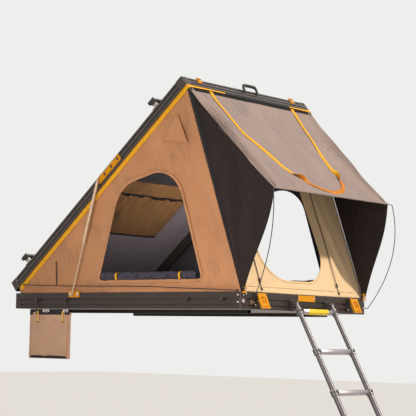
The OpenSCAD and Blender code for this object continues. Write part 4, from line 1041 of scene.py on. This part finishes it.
# Orange webbing along the lid's lower edge and round its front corners, with a black band between as painted shadow of
# the gap under the lid's front
def build_edge_webbing():
    for side, word in SIDES:
        path = [on_lid(REAR + 0.045 + 2.065 * k / 80, side * (0.6893 + 0.0004 * math.sin(k)),
            LID_LOW - 0.0174 + 0.0004 * math.sin(1.7 * k)) for k in range(81)]
        band = strap_piece("edge_webbing_" + word, path, LID_UP, 0.0360, WEBBING, ORANGE_STRAP)
        sewn = [strap_piece("edge_stitch_%s_%d" % (word, e), [p + LID_UP * (0.0115 * e) + Y * (side * 0.0013)
            for p in path], LID_UP, 0.0016, 0.0005, BAG_STRAP) for e in (-1, 1)]
        hang([band] + sewn, side)
        if side < 0:
            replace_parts(band, "edge_webbing")
    for (side, word), reach in zip(ENDS, (0.300, 0.430)):
        turn = [on_lid(FRONT + x, side * y, LID_LOW - 0.0165) for x, y in ((-0.060, 0.6905), (-0.020, 0.6915),
            (-0.002, 0.6890), (0.0020, 0.6780), (0.0016, 0.6500), (0.0016, reach))]
        wrap = strap_piece("edge_webbing_corner_" + word, smooth_path(turn, 14), LID_UP,
            lambda t: 0.032 - 0.021 * smooth(0.55, 1.0, t), WEBBING, ORANGE_STRAP)
        hang([wrap], side)
    # Painted shadow: the black band below the lid's front edge stands in for the shadow gap between lid and awning.
    path = [on_lid(FRONT - 0.0005, mix(-0.575, 0.575, k / 60), LID_LOW - 0.0125 + 0.0005 * math.sin(1.3 * k))
            for k in range(61)]
    hang([strap_piece("ridge_band", path, LID_UP, 0.0240, 0.0018, BLACK_TAPE)])


build_edge_webbing()

# Pull strap: a slack loop on the awning that turns over near its foot, in millimetres across and down the slope
STRAP_ROUTE = [(-462, 27), (-474, 120), (-452, 310), (-424, 470), (-380, 615), (-320, 750), (-245, 850), (-150, 940),
    (-30, 985), (80, 990), (185, 950), (262, 880), (300, 790), (318, 665), (352, 520), (388, 365), (416, 215),
    (452, 27)]


def build_pull_strap():
    flat = smooth_path([Vector((y / 1000, s / 1000, 0)) for y, s in STRAP_ROUTE], 12)
    path, across = [], []
    for i, (q, t) in enumerate(zip(flat, shares(len(flat) - 1))):
        v = min(0.99, q.y / SLOPE_L)
        turn = math.pi * (smooth(0.33, 0.41, t) - smooth(0.66, 0.76, t))
        turn += 0.14 * math.sin(19 * t) * smooth(0.0, 0.1, t) * smooth(1.0, 0.9, t)
        path.append(over_awning(q.x / awning_half(v), v, 0.0042 + 0.0105 * abs(math.sin(turn))))
        run = heading(flat, i)
        across.append((Y * -run.y + SLOPE * run.x) * math.cos(turn) + AWNING_UP * math.sin(turn))
    # Painted shade: the strap's underside takes the darker orange.
    strap = strap_piece("pull_strap_webbing", path, across, 0.033, WEBBING, ORANGE_STRAP, STRAP_SHADE_SIDE)
    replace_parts(strap, "pull_strap")
    fold_to_ridge(strap)


build_pull_strap()

# Ceiling: quilted lining with painted shade on its head end, and a gathered pocket with an elastic mouth
LINER_LOW = 0.2042
LINER_X, LINER_Y, QUILT = 1.029, 0.654, 0.16
POCKET_X0, POCKET_X1, POCKET_Y0, POCKET_Y1 = REAR + 0.640, REAR + 1.045, -0.400, 0.320


def build_lining():
    def quilt(u, v):
        x, y = mix(-LINER_X, LINER_X, u), mix(-LINER_Y, LINER_Y, v)
        puff = abs(math.sin(math.pi * (x + y) / QUILT) * math.sin(math.pi * (x - y) / QUILT)) ** 0.5
        return on_lid(x, y, 0.2105 - 0.0022 * puff)
    lining = grid_piece("ceiling_lining", quilt, 150, 96, LINER, 0.007)
    head = on_lid(REAR + 1.175, 0, 0)
    # Painted shade: the faces beyond this point, towards the ridge, take the dark lining.
    recolour(lining, LINER_SHADED_HEAD, lambda face: (face.center - head).dot(LID_RUN) > 0)
    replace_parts(lining, "headliner")
    fit([lining], "liner", "lid")


def build_pocket():
    def pouch(u, v):
        y, x = mix(POCKET_Y0, POCKET_Y1, u), mix(POCKET_X0, POCKET_X1, v)
        crown = (4 * u * (1 - u)) ** 0.45 * math.sin(math.pi * (0.06 + 0.88 * v)) ** 0.7
        gather = 0.45 * math.sin(math.tau * 9 * u + 3.1 * math.sin(5 * u + 1)) * v
        gather += 1.5 * drawn_fold(u * 0.72, v * 0.40, 1.25, 0.10, 6.0)
        gather += 0.8 * drawn_fold(u * 0.72, v * 0.40, 1.9, 0.07, 3.0)
        edge = min(1.0, 8 * u, 8 * (1 - u))
        depth = 0.0026 + 0.021 * crown + 0.0180 * gather * edge * (0.25 + 0.75 * v) * min(1.0, 5 * v + 0.2)
        depth += 0.003 * wobble(x, y, 0, 0.06, 4.0) * crown
        return on_lid(x, y, LINER_LOW - 0.0018 - max(0.001, depth))

    def flat_above(u, v):
        return on_lid(mix(POCKET_X1 - 0.004, POCKET_X1 + 0.132, v), mix(POCKET_Y0, POCKET_Y1, u),
            LINER_LOW - 0.0016 - 0.0008 * math.sin(math.tau * 6 * u) * v)

    def edging(name, v, width, thick):
        path = [pouch(t, v) - LID_UP * 0.001 for t in shares(120)]
        return strap_piece(name, path, LID_RUN, width, thick, BLACK_TAPE)
    pocket = grid_piece("ceiling_pocket_cloth", pouch, 150, 40, POCKET, 0.0018)
    mouth = edging("pocket_elastic", 1.0, 0.014, 0.003)
    foot = edging("pocket_binding", 0.0, 0.020, 0.002)
    header = grid_piece("pocket_header", flat_above, 60, 6, POCKET, 0.0014)
    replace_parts(pocket, "ceiling_pocket")
    fit([pocket, header], "canvas", "lid")
    fit([mouth, foot], "dark_cloth", "lid")


build_lining()
build_pocket()


# Mattress: a sewn pad in five channels, filled by cloth simulation
def fill_pad(piece, seams, cap, pressure, frames):
    """Swells a closed sewn pad while its seams stay where they are."""
    held = piece.vertex_groups.new(name="seams")
    held.add(seams, 1.0, "REPLACE")
    start = [v.co.copy() for v in piece.data.vertices]
    fill = piece.modifiers.new("fill", "CLOTH")
    fill.settings.use_pressure = True
    fill.settings.uniform_pressure_force = pressure
    fill.settings.vertex_group_mass = "seams"
    fill.settings.effector_weights.gravity = 0.0
    fill.settings.quality = 4
    fill.point_cache.frame_start = 1
    fill.point_cache.frame_end = frames
    for frame_number in range(1, frames + 1):
        bpy.context.scene.frame_set(frame_number)
    grown = piece.evaluated_get(bpy.context.evaluated_depsgraph_get()).data
    moved = [v.co.copy() for v in grown.vertices]
    piece.modifiers.clear()
    piece.vertex_groups.clear()
    for v, a, b in zip(piece.data.vertices, start, moved):
        step = b - a
        v.co = a + (step * (cap / step.length) if step.length > cap else step)
    bpy.context.scene.frame_set(1)


PAD_L, PAD_W, PAD_LOW, PAD_EDGE, PAD_CROWN, CHANNELS = 2.050, 1.300, 0.0276, 0.058, 0.007, 5


def build_mattress():
    nu, nv = 110, 70
    verts, seams = [], []
    for layer in (0, 1):
        for v in shares(nv):
            for u in shares(nu):
                bx, by = min(u, 1 - u) * PAD_L, min(v, 1 - v) * PAD_W
                round_in = 0.014 * max(0.0, 1 - bx / 0.05) * max(0.0, 1 - by / 0.05)
                seam = min(abs(u - k / CHANNELS) for k in range(CHANNELS + 1)) * PAD_L
                z = PAD_LOW
                if layer:
                    dent = 0.010 * math.exp(-(seam / 0.012) ** 2) * min(1.0, by / 0.03) * min(1.0, bx / 0.03)
                    z = PAD_LOW + (PAD_EDGE + PAD_CROWN * (1 - math.exp(-min(bx, by) / 0.05))) - dent
                if not layer or seam < 0.011 or min(bx, by) < 0.001:
                    seams.append(len(verts))
                verts.append(Vector((mix(-PAD_L / 2, PAD_L / 2, u) * (1 - round_in),
                    mix(-PAD_W / 2, PAD_W / 2, v) * (1 - round_in), z)))
    size = (nu + 1) * (nv + 1)
    faces = [quad[::-1] for quad in quads(nu, nv)] + quads(nu, nv, size)
    ring = list(range(nu)) + [i * (nu + 1) + nu for i in range(nv)]
    ring += [nv * (nu + 1) + j for j in range(nu, 0, -1)] + [i * (nu + 1) for i in range(nv, 0, -1)]
    for a, b in zip(ring, ring[1:] + ring[:1]):
        faces.append((a, b, b + size, a + size))
    pad = make("mattress_pad", verts, faces, BED, [(p.x, p.y) for p in verts])
    fill_pad(pad, seams, 0.012, 3.0, 14)
    rims = []
    for k, z in enumerate((PAD_LOW + 0.006, PAD_LOW + PAD_EDGE - 0.002), 1):
        path = [Vector((verts[a].x * 0.9995, verts[a].y * 0.9992, z)) for a in ring]
        rims.append(tube_piece("mattress_piping_%d" % k, path, 0.003, BLACK_TAPE, 8, Z, closed=True))
    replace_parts(pad, "mattress")
    fit([pad] + rims, "mattress", "base")


build_mattress()

# Bag under its bar: a sagging shell, a front flap whose hem stands off, gold tabs and two buckles
BAG_X0, BAG_X1, BAG_Y, BAG_TOP, BAG_LOW, BAR_Z = REAR + 0.196, REAR + 0.616, -0.724, -0.003, -0.333, 0.009
BAG_DEEP = 0.012
BAG_FLAP_X0, BAG_FLAP_X1, BAG_FLAP_LOW = BAG_X0 + 0.024, BAG_X1 - 0.022, 0.935
SLEEVE_UP = [(-0.0095, -0.020), (-0.0092, -0.008), (-0.0088, 0.004), (-0.0080, 0.0125), (-0.0045, 0.0175)]
SLEEVE = SLEEVE_UP + [(0.0, 0.0186)] + [(-y, z) for y, z in SLEEVE_UP[::-1]]
BUCKLE_Y, BUCKLE_Z, BUCKLE_H = BAG_Y - 0.0125, 0.008, 0.0085


def bag_depth(x, v):
    """How far the bag's front stands from its middle plane, by the share down it."""
    edge = min(1.0, (x - BAG_X0) / 0.05, (BAG_X1 - x) / 0.05)
    swell = 0.0055 + 0.0062 * smooth(0.0, 0.75, v) * math.sin(math.pi * 0.5 * max(0.0, edge))
    drape = 0.0034 * math.sin(17 * x + 4 * v) * smooth(0.05, 0.4, v)
    drape += 0.0062 * wobble(x, v * 0.20, 0, 0.08, 9.0) * smooth(0.0, 0.25, v)
    return swell + drape * max(0.0, edge)


def bag_height(v):
    return mix(BAG_TOP, BAG_LOW, v)


def bag_shell(u, v):
    c, s = math.cos(math.tau * u), math.sin(math.tau * u)
    half = (BAG_X1 - BAG_X0) / 2 - 0.004 * math.sin(math.pi * v) - 0.002
    x = (BAG_X0 + BAG_X1) / 2 + half * squared(c, 0.22)
    depth = min(BAG_DEEP, bag_depth(x, v)) * (1 - 0.55 * smooth(0.93, 1.0, v))
    return Vector((x, BAG_Y - depth * squared(s, 0.45), bag_height(v)))


def bag_front(u, v):
    x, share = mix(BAG_FLAP_X0, BAG_FLAP_X1, u), v * BAG_FLAP_LOW
    curl = 0.0055 * smooth(0.86, 1.0, v) * (0.6 + 0.4 * math.sin(math.pi * u))
    return Vector((x, BAG_Y - bag_depth(x, share) - 0.0026 - curl,
        bag_height(share) + 0.004 * math.sin(math.pi * u) * smooth(0.7, 1.0, v)))


def bag_opening(u, v):
    depth = min(BAG_DEEP, bag_depth(mix(BAG_FLAP_X0, BAG_FLAP_X1, u), 0.94))
    return Vector((mix(BAG_FLAP_X0 + 0.004, BAG_FLAP_X1 - 0.004, u), BAG_Y - depth - 0.0012,
        bag_height(0.89 + 0.10 * v)))


def build_bag():
    body = grid_piece("bag_shell", bag_shell, 160, 60, BAGCLOTH, 0.0018)
    flap = grid_piece("bag_flap", bag_front, 70, 60, BAGCLOTH, 0.0016)
    hem = tube_piece("bag_flap_hem", [bag_front(t, 1.0) for t in shares(60)], 0.0026, BAGCLOTH, 8)
    # Painted shadow: a black strip in the opening below the flap's hem.
    mouth = grid_piece("bag_mouth", bag_opening, 50, 6, BLACK_TAPE, 0.001)
    seams = []
    for k, (x, lie, r) in enumerate(((BAG_X0 + 0.0025, 0.0, 0.003), (BAG_X0 + 0.020, 1.0, 0.0022),
            (BAG_X1 - 0.019, 1.0, 0.0022), (BAG_X1 - 0.0025, 0.0, 0.003)), 1):
        path = [Vector((x, BAG_Y - lie * min(BAG_DEEP, bag_depth(x, t)) - 0.0012, bag_height(t))) for t in shares(50)]
        seams.append(tube_piece("bag_seam_%d" % k, path, r, BAGCLOTH, 8))
    bar = tube_piece("bag_bar", [Vector((mix(BAG_X0 + 0.022, BAG_X1 - 0.022, t), BAG_Y, BAR_Z)) for t in shares(20)],
        0.005, DARK_COAT, 16)
    sleeves = []
    for k, (x0, x1) in enumerate(((BAG_X0 + 0.006, -0.840), (-0.812, -0.544), (-0.516, BAG_X1 - 0.006)), 1):
        def sleeve(u, v):
            i = min(len(SLEEVE) - 2, int(v * (len(SLEEVE) - 1)))
            f = v * (len(SLEEVE) - 1) - i
            dy, z = [mix(a, b, f) for a, b in zip(SLEEVE[i], SLEEVE[i + 1])]
            x = mix(x0, x1, u)
            return Vector((x, BAG_Y + dy * 1.05 + 0.0006 * math.sin(60 * x), z))
        sleeves.append(grid_piece("bag_sleeve_%d" % k, sleeve, 30, 30, BLACK_TAPE, 0.0014))
    tabs, tips, buckles = [], [], []
    for k, x in enumerate((-0.786, -0.532), 1):
        path = [Vector((x + 0.001 * math.sin(3 * t),
            BAG_Y - max(bag_depth(x, t * 0.2) + 0.006, 0.0135) - 0.002 * math.sin(math.pi * t),
            mix(0.006, -0.070, t))) for t in shares(24)]
        tabs.append(strap_piece("bag_tab_%d" % k, path, X, lambda t: 0.015 + 0.010 * smooth(0.2, 1.0, t), 0.003,
            GOLD_TAB))
        tips.append(block_piece("bag_tab_tip_%d" % k, (0.022, 0.005, 0.007), path[-1] + Vector((0, -0.0004, -0.002)),
            BLACK_PLASTIC, 0.0018))
    for k, (x, w) in enumerate(((-0.703, 0.030), (-0.502, 0.0215)), 1):
        w = min(w, BAG_X1 - 0.004 - x - 0.006)
        loop = [Vector((x + squared(math.cos(a), 0.25) * w, BUCKLE_Y,
            BUCKLE_Z + squared(math.sin(a), 0.35) * BUCKLE_H)) for a in round_turn(48)]
        buckles.append(tube_piece("bag_buckle_%d" % k, loop, 0.0026, BRIGHT, 10, closed=True))
        buckles.append(block_piece("bag_buckle_bar_%d" % k, (2 * w, 0.003, 0.006), (x, BUCKLE_Y, BUCKLE_Z),
            BRIGHT, 0.001))
    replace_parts(body, "shoe_bag")
    for pieces, slot in (([body, flap, hem] + seams, "bag_canvas"), (sleeves + [mouth], "dark_cloth"),
            (tabs, "webbing"), (tips, "black_plastic"), (buckles, "steel"), ([bar], "dark_metal")):
        fit(pieces, slot, "bag")


build_bag()

# Ladder: ribbed treads over the rungs, bright rings and release buttons on the collars
LADDER_TOP = Vector((1.111, 0.035, 0.077))
LADDER_DOWN = Vector((0.48481, 0, -0.87462))
LADDER_FACE = Vector((0.87462, 0, 0.48481))
RUNG_FIRST, RUNG_STEP, RUNG_R, RUNG_FLAT, RIB = 0.062, 0.304, 0.013, 0.006, 0.0011


def rung_outline(grow):
    """A rung's rounded section with ribs on its upper and front sides, as (across, along) pairs."""
    out = []
    for a in round_turn(96):
        c, s = math.cos(a), math.sin(a)
        x, z = (RUNG_FLAT if c > 0 else -RUNG_FLAT) + RUNG_R * c, RUNG_R * s
        if abs(c) < 0.7:
            x = RUNG_FLAT * c / 0.7 + RUNG_R * c
            z = math.copysign(RUNG_R, s)
        rib = RIB * max(0.0, math.sin(a * 22)) if s > -0.25 or c > 0.3 else 0.0
        out.append((x + c * (grow + rib), z + s * (grow + rib)))
    return out


def rung_piece(name, grow, middle, half, material):
    """A straight sleeve over a rung, rounded in a little at both ends."""
    steps = ((-half, 0.93), (-half + 0.002, 1.0), (half - 0.002, 1.0), (half, 0.93))
    outline = rung_outline(grow)
    verts = [middle + Y * y + LADDER_FACE * (x * g) - LADDER_DOWN * (z * g) for y, g in steps for x, z in outline]
    return make(name, verts, loft(len(steps), len(outline), capped=True), material)


def build_ladder_trim():
    for k in range(1, 7):
        middle = LADDER_TOP + LADDER_DOWN * (RUNG_FIRST + RUNG_STEP * (k - 1))
        parts = [(rung_piece("ladder_tread_%d" % k, 0.0008, middle, 0.168, TREAD), "ladder_alu")]
        if k == 1:
            parts.append((rung_piece("ladder_grip", 0.0014, middle, 0.112, GRIP), "black_plastic"))
        rings, buttons = [], []
        collar = 0.021 + 0.0018 * (k - 1)
        for y in (-0.200, 0.200):
            for e in (-1, 1):
                at = facing(middle + Y * y - LADDER_DOWN * (0.0165 * e), -LADDER_DOWN, Y)
                r = collar + 0.0004
                hoop = [at @ Vector((math.cos(a) * r, math.sin(a) * r, 0)) for a in round_turn(40)]
                rings.append(tube_piece("ring", hoop, 0.0018, MILL, 8, LADDER_DOWN, closed=True))
            at = facing(middle + Y * y + LADDER_FACE * (collar + 0.0015), -LADDER_DOWN, LADDER_FACE)
            buttons.append(block_piece("button", (0.007, 0.013, 0.016), at, BLACK_PLASTIC, 0.002))
        parts.append((join("collar_rings_%d" % k, rings), "steel"))
        parts.append((join("collar_buttons_%d" % k, buttons), "black_plastic"))
        for piece, slot in parts:
            fit([piece], slot, "ladder_%d" % k)


build_ladder_trim()

# Fasteners: WASHER and BOLT are in shares of the bolt's radius, KNOB_CENTRE is in metres
WASHER = [(1.45, 0.0), (1.5, 0.1), (1.42, 0.22), (0.8, 0.24)]
BOLT = [(1, 0.2), (1.02, 0.5), (0.9, 0.82), (0.62, 0.98), (0.5, 0.98), (0.46, 0.6), (0.05, 0.55)]
KNOB_CENTRE = [(0.0072, 0.0), (0.0070, 0.0012), (0.0055, 0.0022), (0.001, 0.0026)]
KNOBS = (0.249, 0.545, 1.697, 2.000)
CORNER_BOLT = 0.0042


def bolt_head(place, radius, material):
    """A washer under a domed head with a socket."""
    return [turned_piece(name, [(r * radius, h * radius) for r, h in profile], place, material, sides)
            for name, profile, sides in (("washer", WASHER, 28), ("head", BOLT, 24))]


def build_fasteners():
    base_set, lid_set = [], []

    def base_bolt(x, y, z, towards, radius, material, hint=X):
        base_set.extend(bolt_head(facing(Vector((x, y, z)), towards, hint), radius, material))

    def lid_bolt(x, y, z, towards, radius, hint=X):
        lid_set.extend(bolt_head(facing(on_lid(x, y, z), towards, hint), radius, DARK_COAT))
    for side in (-1, 1):
        out = Y * side
        for dx in (-0.038, 0.038):
            base_bolt(-0.456 + dx, side * BRACKET_FACE, 0.127, out, 0.0075, BRIGHT)
        for share in (0.3, 0.6, 0.9):
            lid_bolt(HINGE_X + 1.150 + share * 0.260, side * BRACKET_FACE, 0.185, out, 0.007)
        for x in KNOBS if side < 0 else KNOBS[2:]:
            base_set.append(turned_piece("knob_centre", KNOB_CENTRE,
                facing(Vector((REAR + x, side * KNOB_FACE, 0.089)), out), DARK_COAT, 24))
        for z in (LID_LOW + 0.020, ROOF - 0.020):
            lid_bolt(FRONT + 0.0003, side * 0.668, z, LID_RUN, CORNER_BOLT, LID_UP)
            lid_bolt(FRONT - 0.030, side * RAIL_FACE, z, out, CORNER_BOLT, LID_RUN)
            lid_bolt(REAR + 0.030, side * RAIL_FACE, z, out, CORNER_BOLT, LID_RUN)
        for z in (BASE_TOP - 0.022, BASE_TOP - 0.068):
            base_bolt(FRONT - 0.030, side * RAIL_FACE, z, out, CORNER_BOLT, BRIGHT)
            base_bolt(REAR + 0.030, side * RAIL_FACE, z, out, CORNER_BOLT, DARK_COAT)
            base_bolt(FRONT + 0.0003, side * 0.676, z, X, CORNER_BOLT, BRIGHT, Y)
        for dy in (-0.036, 0.036):
            base_bolt(FRONT + 0.0043, side * LATCH_Y + dy, BASE_TOP - 0.084, X, 0.0048, BRIGHT, Y)
    for y in (-0.165, 0.235):
        for e in (-1, 1):
            base_bolt(LADDER_TOP.x, y + e * 0.0217, LADDER_TOP.z, Y * e, 0.0085, DARK_COAT)
    low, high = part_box("centre_plate")
    for y in (low.y + 0.010, high.y - 0.010):
        base_bolt(high.x + 0.0002, y, (low.z + high.z) / 2, X, 0.0035, BRIGHT, Y)
    fit([join("base_bolts", base_set)], "steel", "base")
    fit([join("lid_bolts", lid_set)], "steel", "lid")


build_fasteners()

# Small fittings: bar end caps, the grab handle, a tie eye with its cord, and corner clips
HANDLE_Y, HANDLE_HALF = 0.030, 0.072
BOW_UP = [(-0.072, -0.022), (-0.072, -0.008), (-0.0715, 0.006), (-0.067, 0.016), (-0.056, 0.0215), (-0.030, 0.023)]
BOW = BOW_UP + [(0, 0.0235)] + [(-y, z) for y, z in BOW_UP[::-1]]
HANDLE_FOOT = [(0.0, 0.0004), (0.0125, 0.0004), (0.0130, 0.0012), (0.0128, 0.0080), (0.0112, 0.0100), (0.0, 0.0104)]
TIE_CORD = [(0.006, -0.679, 0.070), (0.009, -0.668, 0.058), (0.009, -0.645, 0.054), (0.008, -0.622, 0.060),
    (0.006, -0.606, 0.071)]
CLIP_HOOK = [(0.0075, 0.002, 0.014), (0.0085, 0.008, 0.022), (0.0080, 0.002, 0.029), (0.0075, -0.010, 0.027),
    (0.0075, -0.016, 0.018)]
CLIP_ROPE = [(0.010, -0.004, 0.016), (0.013, -0.010, 0.004), (0.012, -0.014, -0.012), (0.010, -0.013, -0.026)]


def handle_radius(t):
    """The bow is thicker and ribbed where the hand goes."""
    return 0.0092 + smooth(0.24, 0.30, t) * smooth(0.76, 0.70, t) * (0.0022 + 0.0006 * math.sin(190 * t))


def build_lid_fittings():
    caps = [block_piece("cap", (0.0615, 0.006, 0.0275), facing(on_lid(x, side * 0.7036, ROOF + 0.055), LID_UP, LID_RUN),
        BLACK_PLASTIC, 0.0022) for x in (REAR + 0.235, REAR + 1.850) for side in (-1, 1)]
    fit([join("bar_end_caps", caps)], "black_plastic", "lid")
    bow = [on_lid(FRONT + 0.010 + 0.3 * (z + 0.022), HANDLE_Y + y, ROOF + z) for y, z in BOW]
    grip = tube_piece("lid_handle_bow", smooth_path(bow), handle_radius, BLACK_PLASTIC, 20, LID_RUN)
    feet = join("lid_handle_feet", [turned_piece("foot", HANDLE_FOOT,
        facing(on_lid(FRONT + 0.0002, HANDLE_Y + side * HANDLE_HALF, ROOF - 0.022), LID_RUN), BLACK_PLASTIC, 32)
        for side in (-1, 1)])
    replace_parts(grip, "lid_handle")
    fit([grip, feet], "black_plastic", "lid")


def build_base_fittings():
    ring = [Vector((FRONT + 0.003, -0.680 + 0.010 * math.cos(a), 0.076 + 0.010 * math.sin(a))) for a in round_turn(32)]
    eye = tube_piece("tie_eye", ring, 0.0028, BRIGHT, 10, X, closed=True)
    loop = smooth_path([Vector((FRONT + x, y, z)) for x, y, z in TIE_CORD])
    cord = tube_piece("tie_eye_cord", loop, 0.0022, BLACK_CORD, 8, X)
    fit([eye], "steel", "base")
    fit([cord], "cord", "base")
    for side, word in ENDS:
        at = Vector((FRONT + 0.0005, side * 0.676, BASE_TOP + 0.004))
        hook, run = [smooth_path([at + Vector((x, side * y, z)) for x, y, z in points], 6)
                     for points in (CLIP_HOOK, CLIP_ROPE)]
        parts = [block_piece("foot", (0.010, 0.040, 0.008), at + Vector((0.0058, 0, -0.0095)), ORANGE_COAT, 0.002),
            block_piece("post", (0.008, 0.014, 0.030), at + Vector((0.0065, 0, 0.002)), ORANGE_COAT, 0.002),
            tube_piece("hook", hook, 0.0038, ORANGE_COAT, 12, X)]
        clip = join("corner_clip_" + word, parts)
        rope = tube_piece("corner_rope_" + word, run, 0.0028, PALE_ROPE, 8, X)
        fit([clip], "orange_metal", "base")
        fit([rope], "cord", "base")


build_lid_fittings()
build_base_fittings()


# Latch levers: a raised frame on the face that shows while the lever hangs
def build_latch_frames():
    lean = math.radians(24)
    down = Vector((math.sin(lean), 0, -math.cos(lean)))
    face = Vector((math.cos(lean), 0, math.sin(lean)))
    for (side, word), body in zip(SIDES, ("latch_l", "latch_r")):
        pin = Vector((FRONT + 0.020, side * LATCH_Y, BASE_TOP - 0.014))

        def block(along, out, across, size, round_by):
            at = facing(pin + down * along + face * (0.0025 + out) + Y * across, down, face)
            return block_piece("frame", size, at, ORANGE_COAT, round_by)
        parts = [block(0.050, 0.0040, e * 0.033, (0.0085, 0.017, 0.088), 0.0034) for e in (-1, 1)]
        parts.append(block(0.013, 0.0036, 0, (0.0078, 0.060, 0.016), 0.003))
        parts.append(block(0.076, 0.0015, 0, (0.0045, 0.054, 0.020), 0.0018))
        parts += [block(0.046, 0.0012, e * 0.012, (0.0036, 0.007, 0.046), 0.0015) for e in (-1, 0, 1)]
        fit([join("latch_frame_" + word, parts)], "orange_metal", body)


build_latch_frames()


# Sewn trim on the walls: an upright zip near the rear, and a hem above the base
def build_wall_trim():
    for side, word in SIDES:
        def wall_point(x, z, h):
            return Vector((x, side * (WALL_Y + h), z))
        slit = [wall_point(mix(-0.663, -0.652, t), mix(0.362, 0.206, t), 0.0012) for t in shares(30)]
        zip_tape = strap_piece("wall_zip_" + word, slit, X, 0.010, 0.0016, BLACK_TAPE)
        pull = block_piece("zip_pull_" + word, (0.007, 0.003, 0.022), wall_point(-0.6525, 0.200, 0.0035),
            BLACK_PLASTIC, 0.001)
        low = [wall_point(mix(REAR + 0.06, FRONT - 0.03, k / 90), BASE_TOP + 0.030 + 0.0006 * math.sin(k), 0.0006)
               for k in range(91)]
        hem = strap_piece("wall_hem_" + word, low, Z, 0.008, 0.0014, TAN)
        hang([zip_tape, pull], side)
        hang([hem], side)
    low = [on_front(mix(-0.660, 0.660, t), 0.046, 0.0004) for t in shares(80)]
    # Painted sunlight: the front hem takes the paler copy of the tan canvas.
    hang([strap_piece("front_hem", low, RISE, 0.010, 0.0008, SUNLIT_TAN)])


build_wall_trim()

# Finishes of the solids that stay
FINISH = {
    BASE_COAT: ["base_rail_left", "base_rail_right", "base_rail_front", "base_rail_rear", "base_corners"],
    LID_COAT: ["lid_rail_left", "lid_rail_right", "lid_rail_front", "lid_rail_rear", "lid_corners"],
    ROOF_COAT: ["roof_panel"], FLOOR_COAT: ["floor_panel"], BAR_COAT: ["crossbars"],
    MILL: ["crossbar_clamps"], RAIL_COAT: ["mounting_rail_left", "mounting_rail_right"],
    ORANGE_COAT: ["strut_base_brackets", "strut_lid_brackets", "latch_keepers", "centre_plate",
        "latch_lever_left", "latch_lever_right"],
    DARK_COAT: ["hinge_base_leaves", "hinge_lid_leaves", "latch_plates", "ladder_hooks"],
    BRIGHT: ["hinge_pins", "rod_sockets"],
    STRUT: ["strut_tube_left", "strut_tube_right", "strut_rod_left", "strut_rod_right"],
    SPRING_COAT: ["awning_rod_near", "awning_rod_far"],
    BLACK_PLASTIC: ["slot_knobs", "bag_hangers"],
    RUBBER: ["lid_seal", "ladder_feet"],
    LADDER_COAT: ["ladder_section_%d" % k for k in range(1, 7)],
}
for material, names in FINISH.items():
    for name in names:
        nodes[name].data.materials.clear()
        nodes[name].data.materials.append(material)

# Camera, floor and light
AZIMUTH, ELEVATION, ROLL = math.radians(40.6), math.radians(-5.1), math.radians(1.16)
EYE = (7.197, -8.189, -0.192)
FOCAL_PX, FRAME_PX, SENSOR = 1500.0, 416.0, 36.0
FLOOR_REACH = 40.0


def set_camera():
    flat = math.cos(ELEVATION)
    back = Vector((math.sin(AZIMUTH) * flat, -math.cos(AZIMUTH) * flat, math.sin(ELEVATION)))
    right = (-back).cross(Z).normalized()
    up = right.cross(-back)
    level = right * math.cos(ROLL) + up * math.sin(ROLL)
    top = up * math.cos(ROLL) - right * math.sin(ROLL)
    data = bpy.data.cameras.new("camera")
    data.sensor_fit = "HORIZONTAL"
    data.sensor_width = SENSOR
    data.lens = SENSOR * FOCAL_PX / FRAME_PX
    data.clip_end = 100.0
    camera = bpy.data.objects.new("camera", data)
    camera.matrix_world = Matrix.Translation(EYE) @ Matrix((level, top, back)).transposed().to_4x4()
    bpy.context.scene.collection.objects.link(camera)
    bpy.context.scene.camera = camera


def build_stage():
    low = min(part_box("ladder_feet")[0].z, cad_box[0][2]) - 0.001
    material = bpy.data.materials.new("pale_floor")
    material.use_nodes = True
    shader = material.node_tree.nodes["Principled BSDF"]
    shader.inputs["Base Color"].default_value = paint(222, 221, 219)
    shader.inputs["Roughness"].default_value = 0.9
    corners = [(x * FLOOR_REACH, y * FLOOR_REACH, low) for x, y in ((-1, -1), (1, -1), (1, 1), (-1, 1))]
    make("floor", corners, [(0, 1, 2, 3)], material)


def add_light(name, kind, direction, colour, power):
    data = bpy.data.lights.new(name, kind)
    data.energy = power
    data.color = colour
    light = bpy.data.objects.new(name, data)
    light.rotation_euler = direction.to_track_quat("-Z", "Y").to_euler()
    bpy.context.scene.collection.objects.link(light)
    return light


def lamp(name, place, target, size, watts, colour, spread):
    light = add_light(name, "AREA", Vector(target) - Vector(place), colour, watts)
    light.location = place
    light.data.size = size
    light.data.spread = math.radians(spread)


def build_light():
    world = bpy.data.worlds.new("studio")
    bpy.context.scene.world = world
    world.use_nodes = True
    tree = world.node_tree
    sky = tree.nodes["Background"]
    sky.inputs["Color"].default_value = paint(222, 224, 228)
    sky.inputs["Strength"].default_value = 0.33
    seen = tree.nodes.new("ShaderNodeBackground")
    seen.inputs["Color"].default_value = paint(238, 238, 237)
    rays = tree.nodes.new("ShaderNodeLightPath").outputs
    shown = math_node(tree, "MAXIMUM", rays["Is Camera Ray"],
        math_node(tree, "MAXIMUM", rays["Is Glossy Ray"], rays["Is Transmission Ray"]))
    blend = tree.nodes.new("ShaderNodeMixShader")
    for i, value in enumerate((shown, sky.outputs[0], seen.outputs[0])):
        tree.links.new(value, blend.inputs[i])
    tree.links.new(blend.outputs[0], tree.nodes["World Output"].inputs["Surface"])
    key = add_light("key", "SUN", Vector((-0.60, -0.34, -0.70)), (1.0, 0.93, 0.84), 3.4)
    key.data.angle = math.radians(4)
    lamp("low_fill", (4.5, -4.5, -1.0), (0.9, -0.2, 0.1), 2.0, 10, (1.0, 0.95, 0.9), 180)
    lamp("near_fill", (1.7, -4.6, 0.6), (0.6, -0.7, 0.32), 1.6, 15, (1.0, 0.95, 0.90), 64)
    lamp("bed_fill", (0.72, 0.10, 0.175), (-0.18, 0.04, 1.00), 0.05, 2.6, (1.0, 0.97, 0.95), 100)


set_camera()
build_stage()
build_light()
bpy.context.scene.view_settings.view_transform = "Standard"
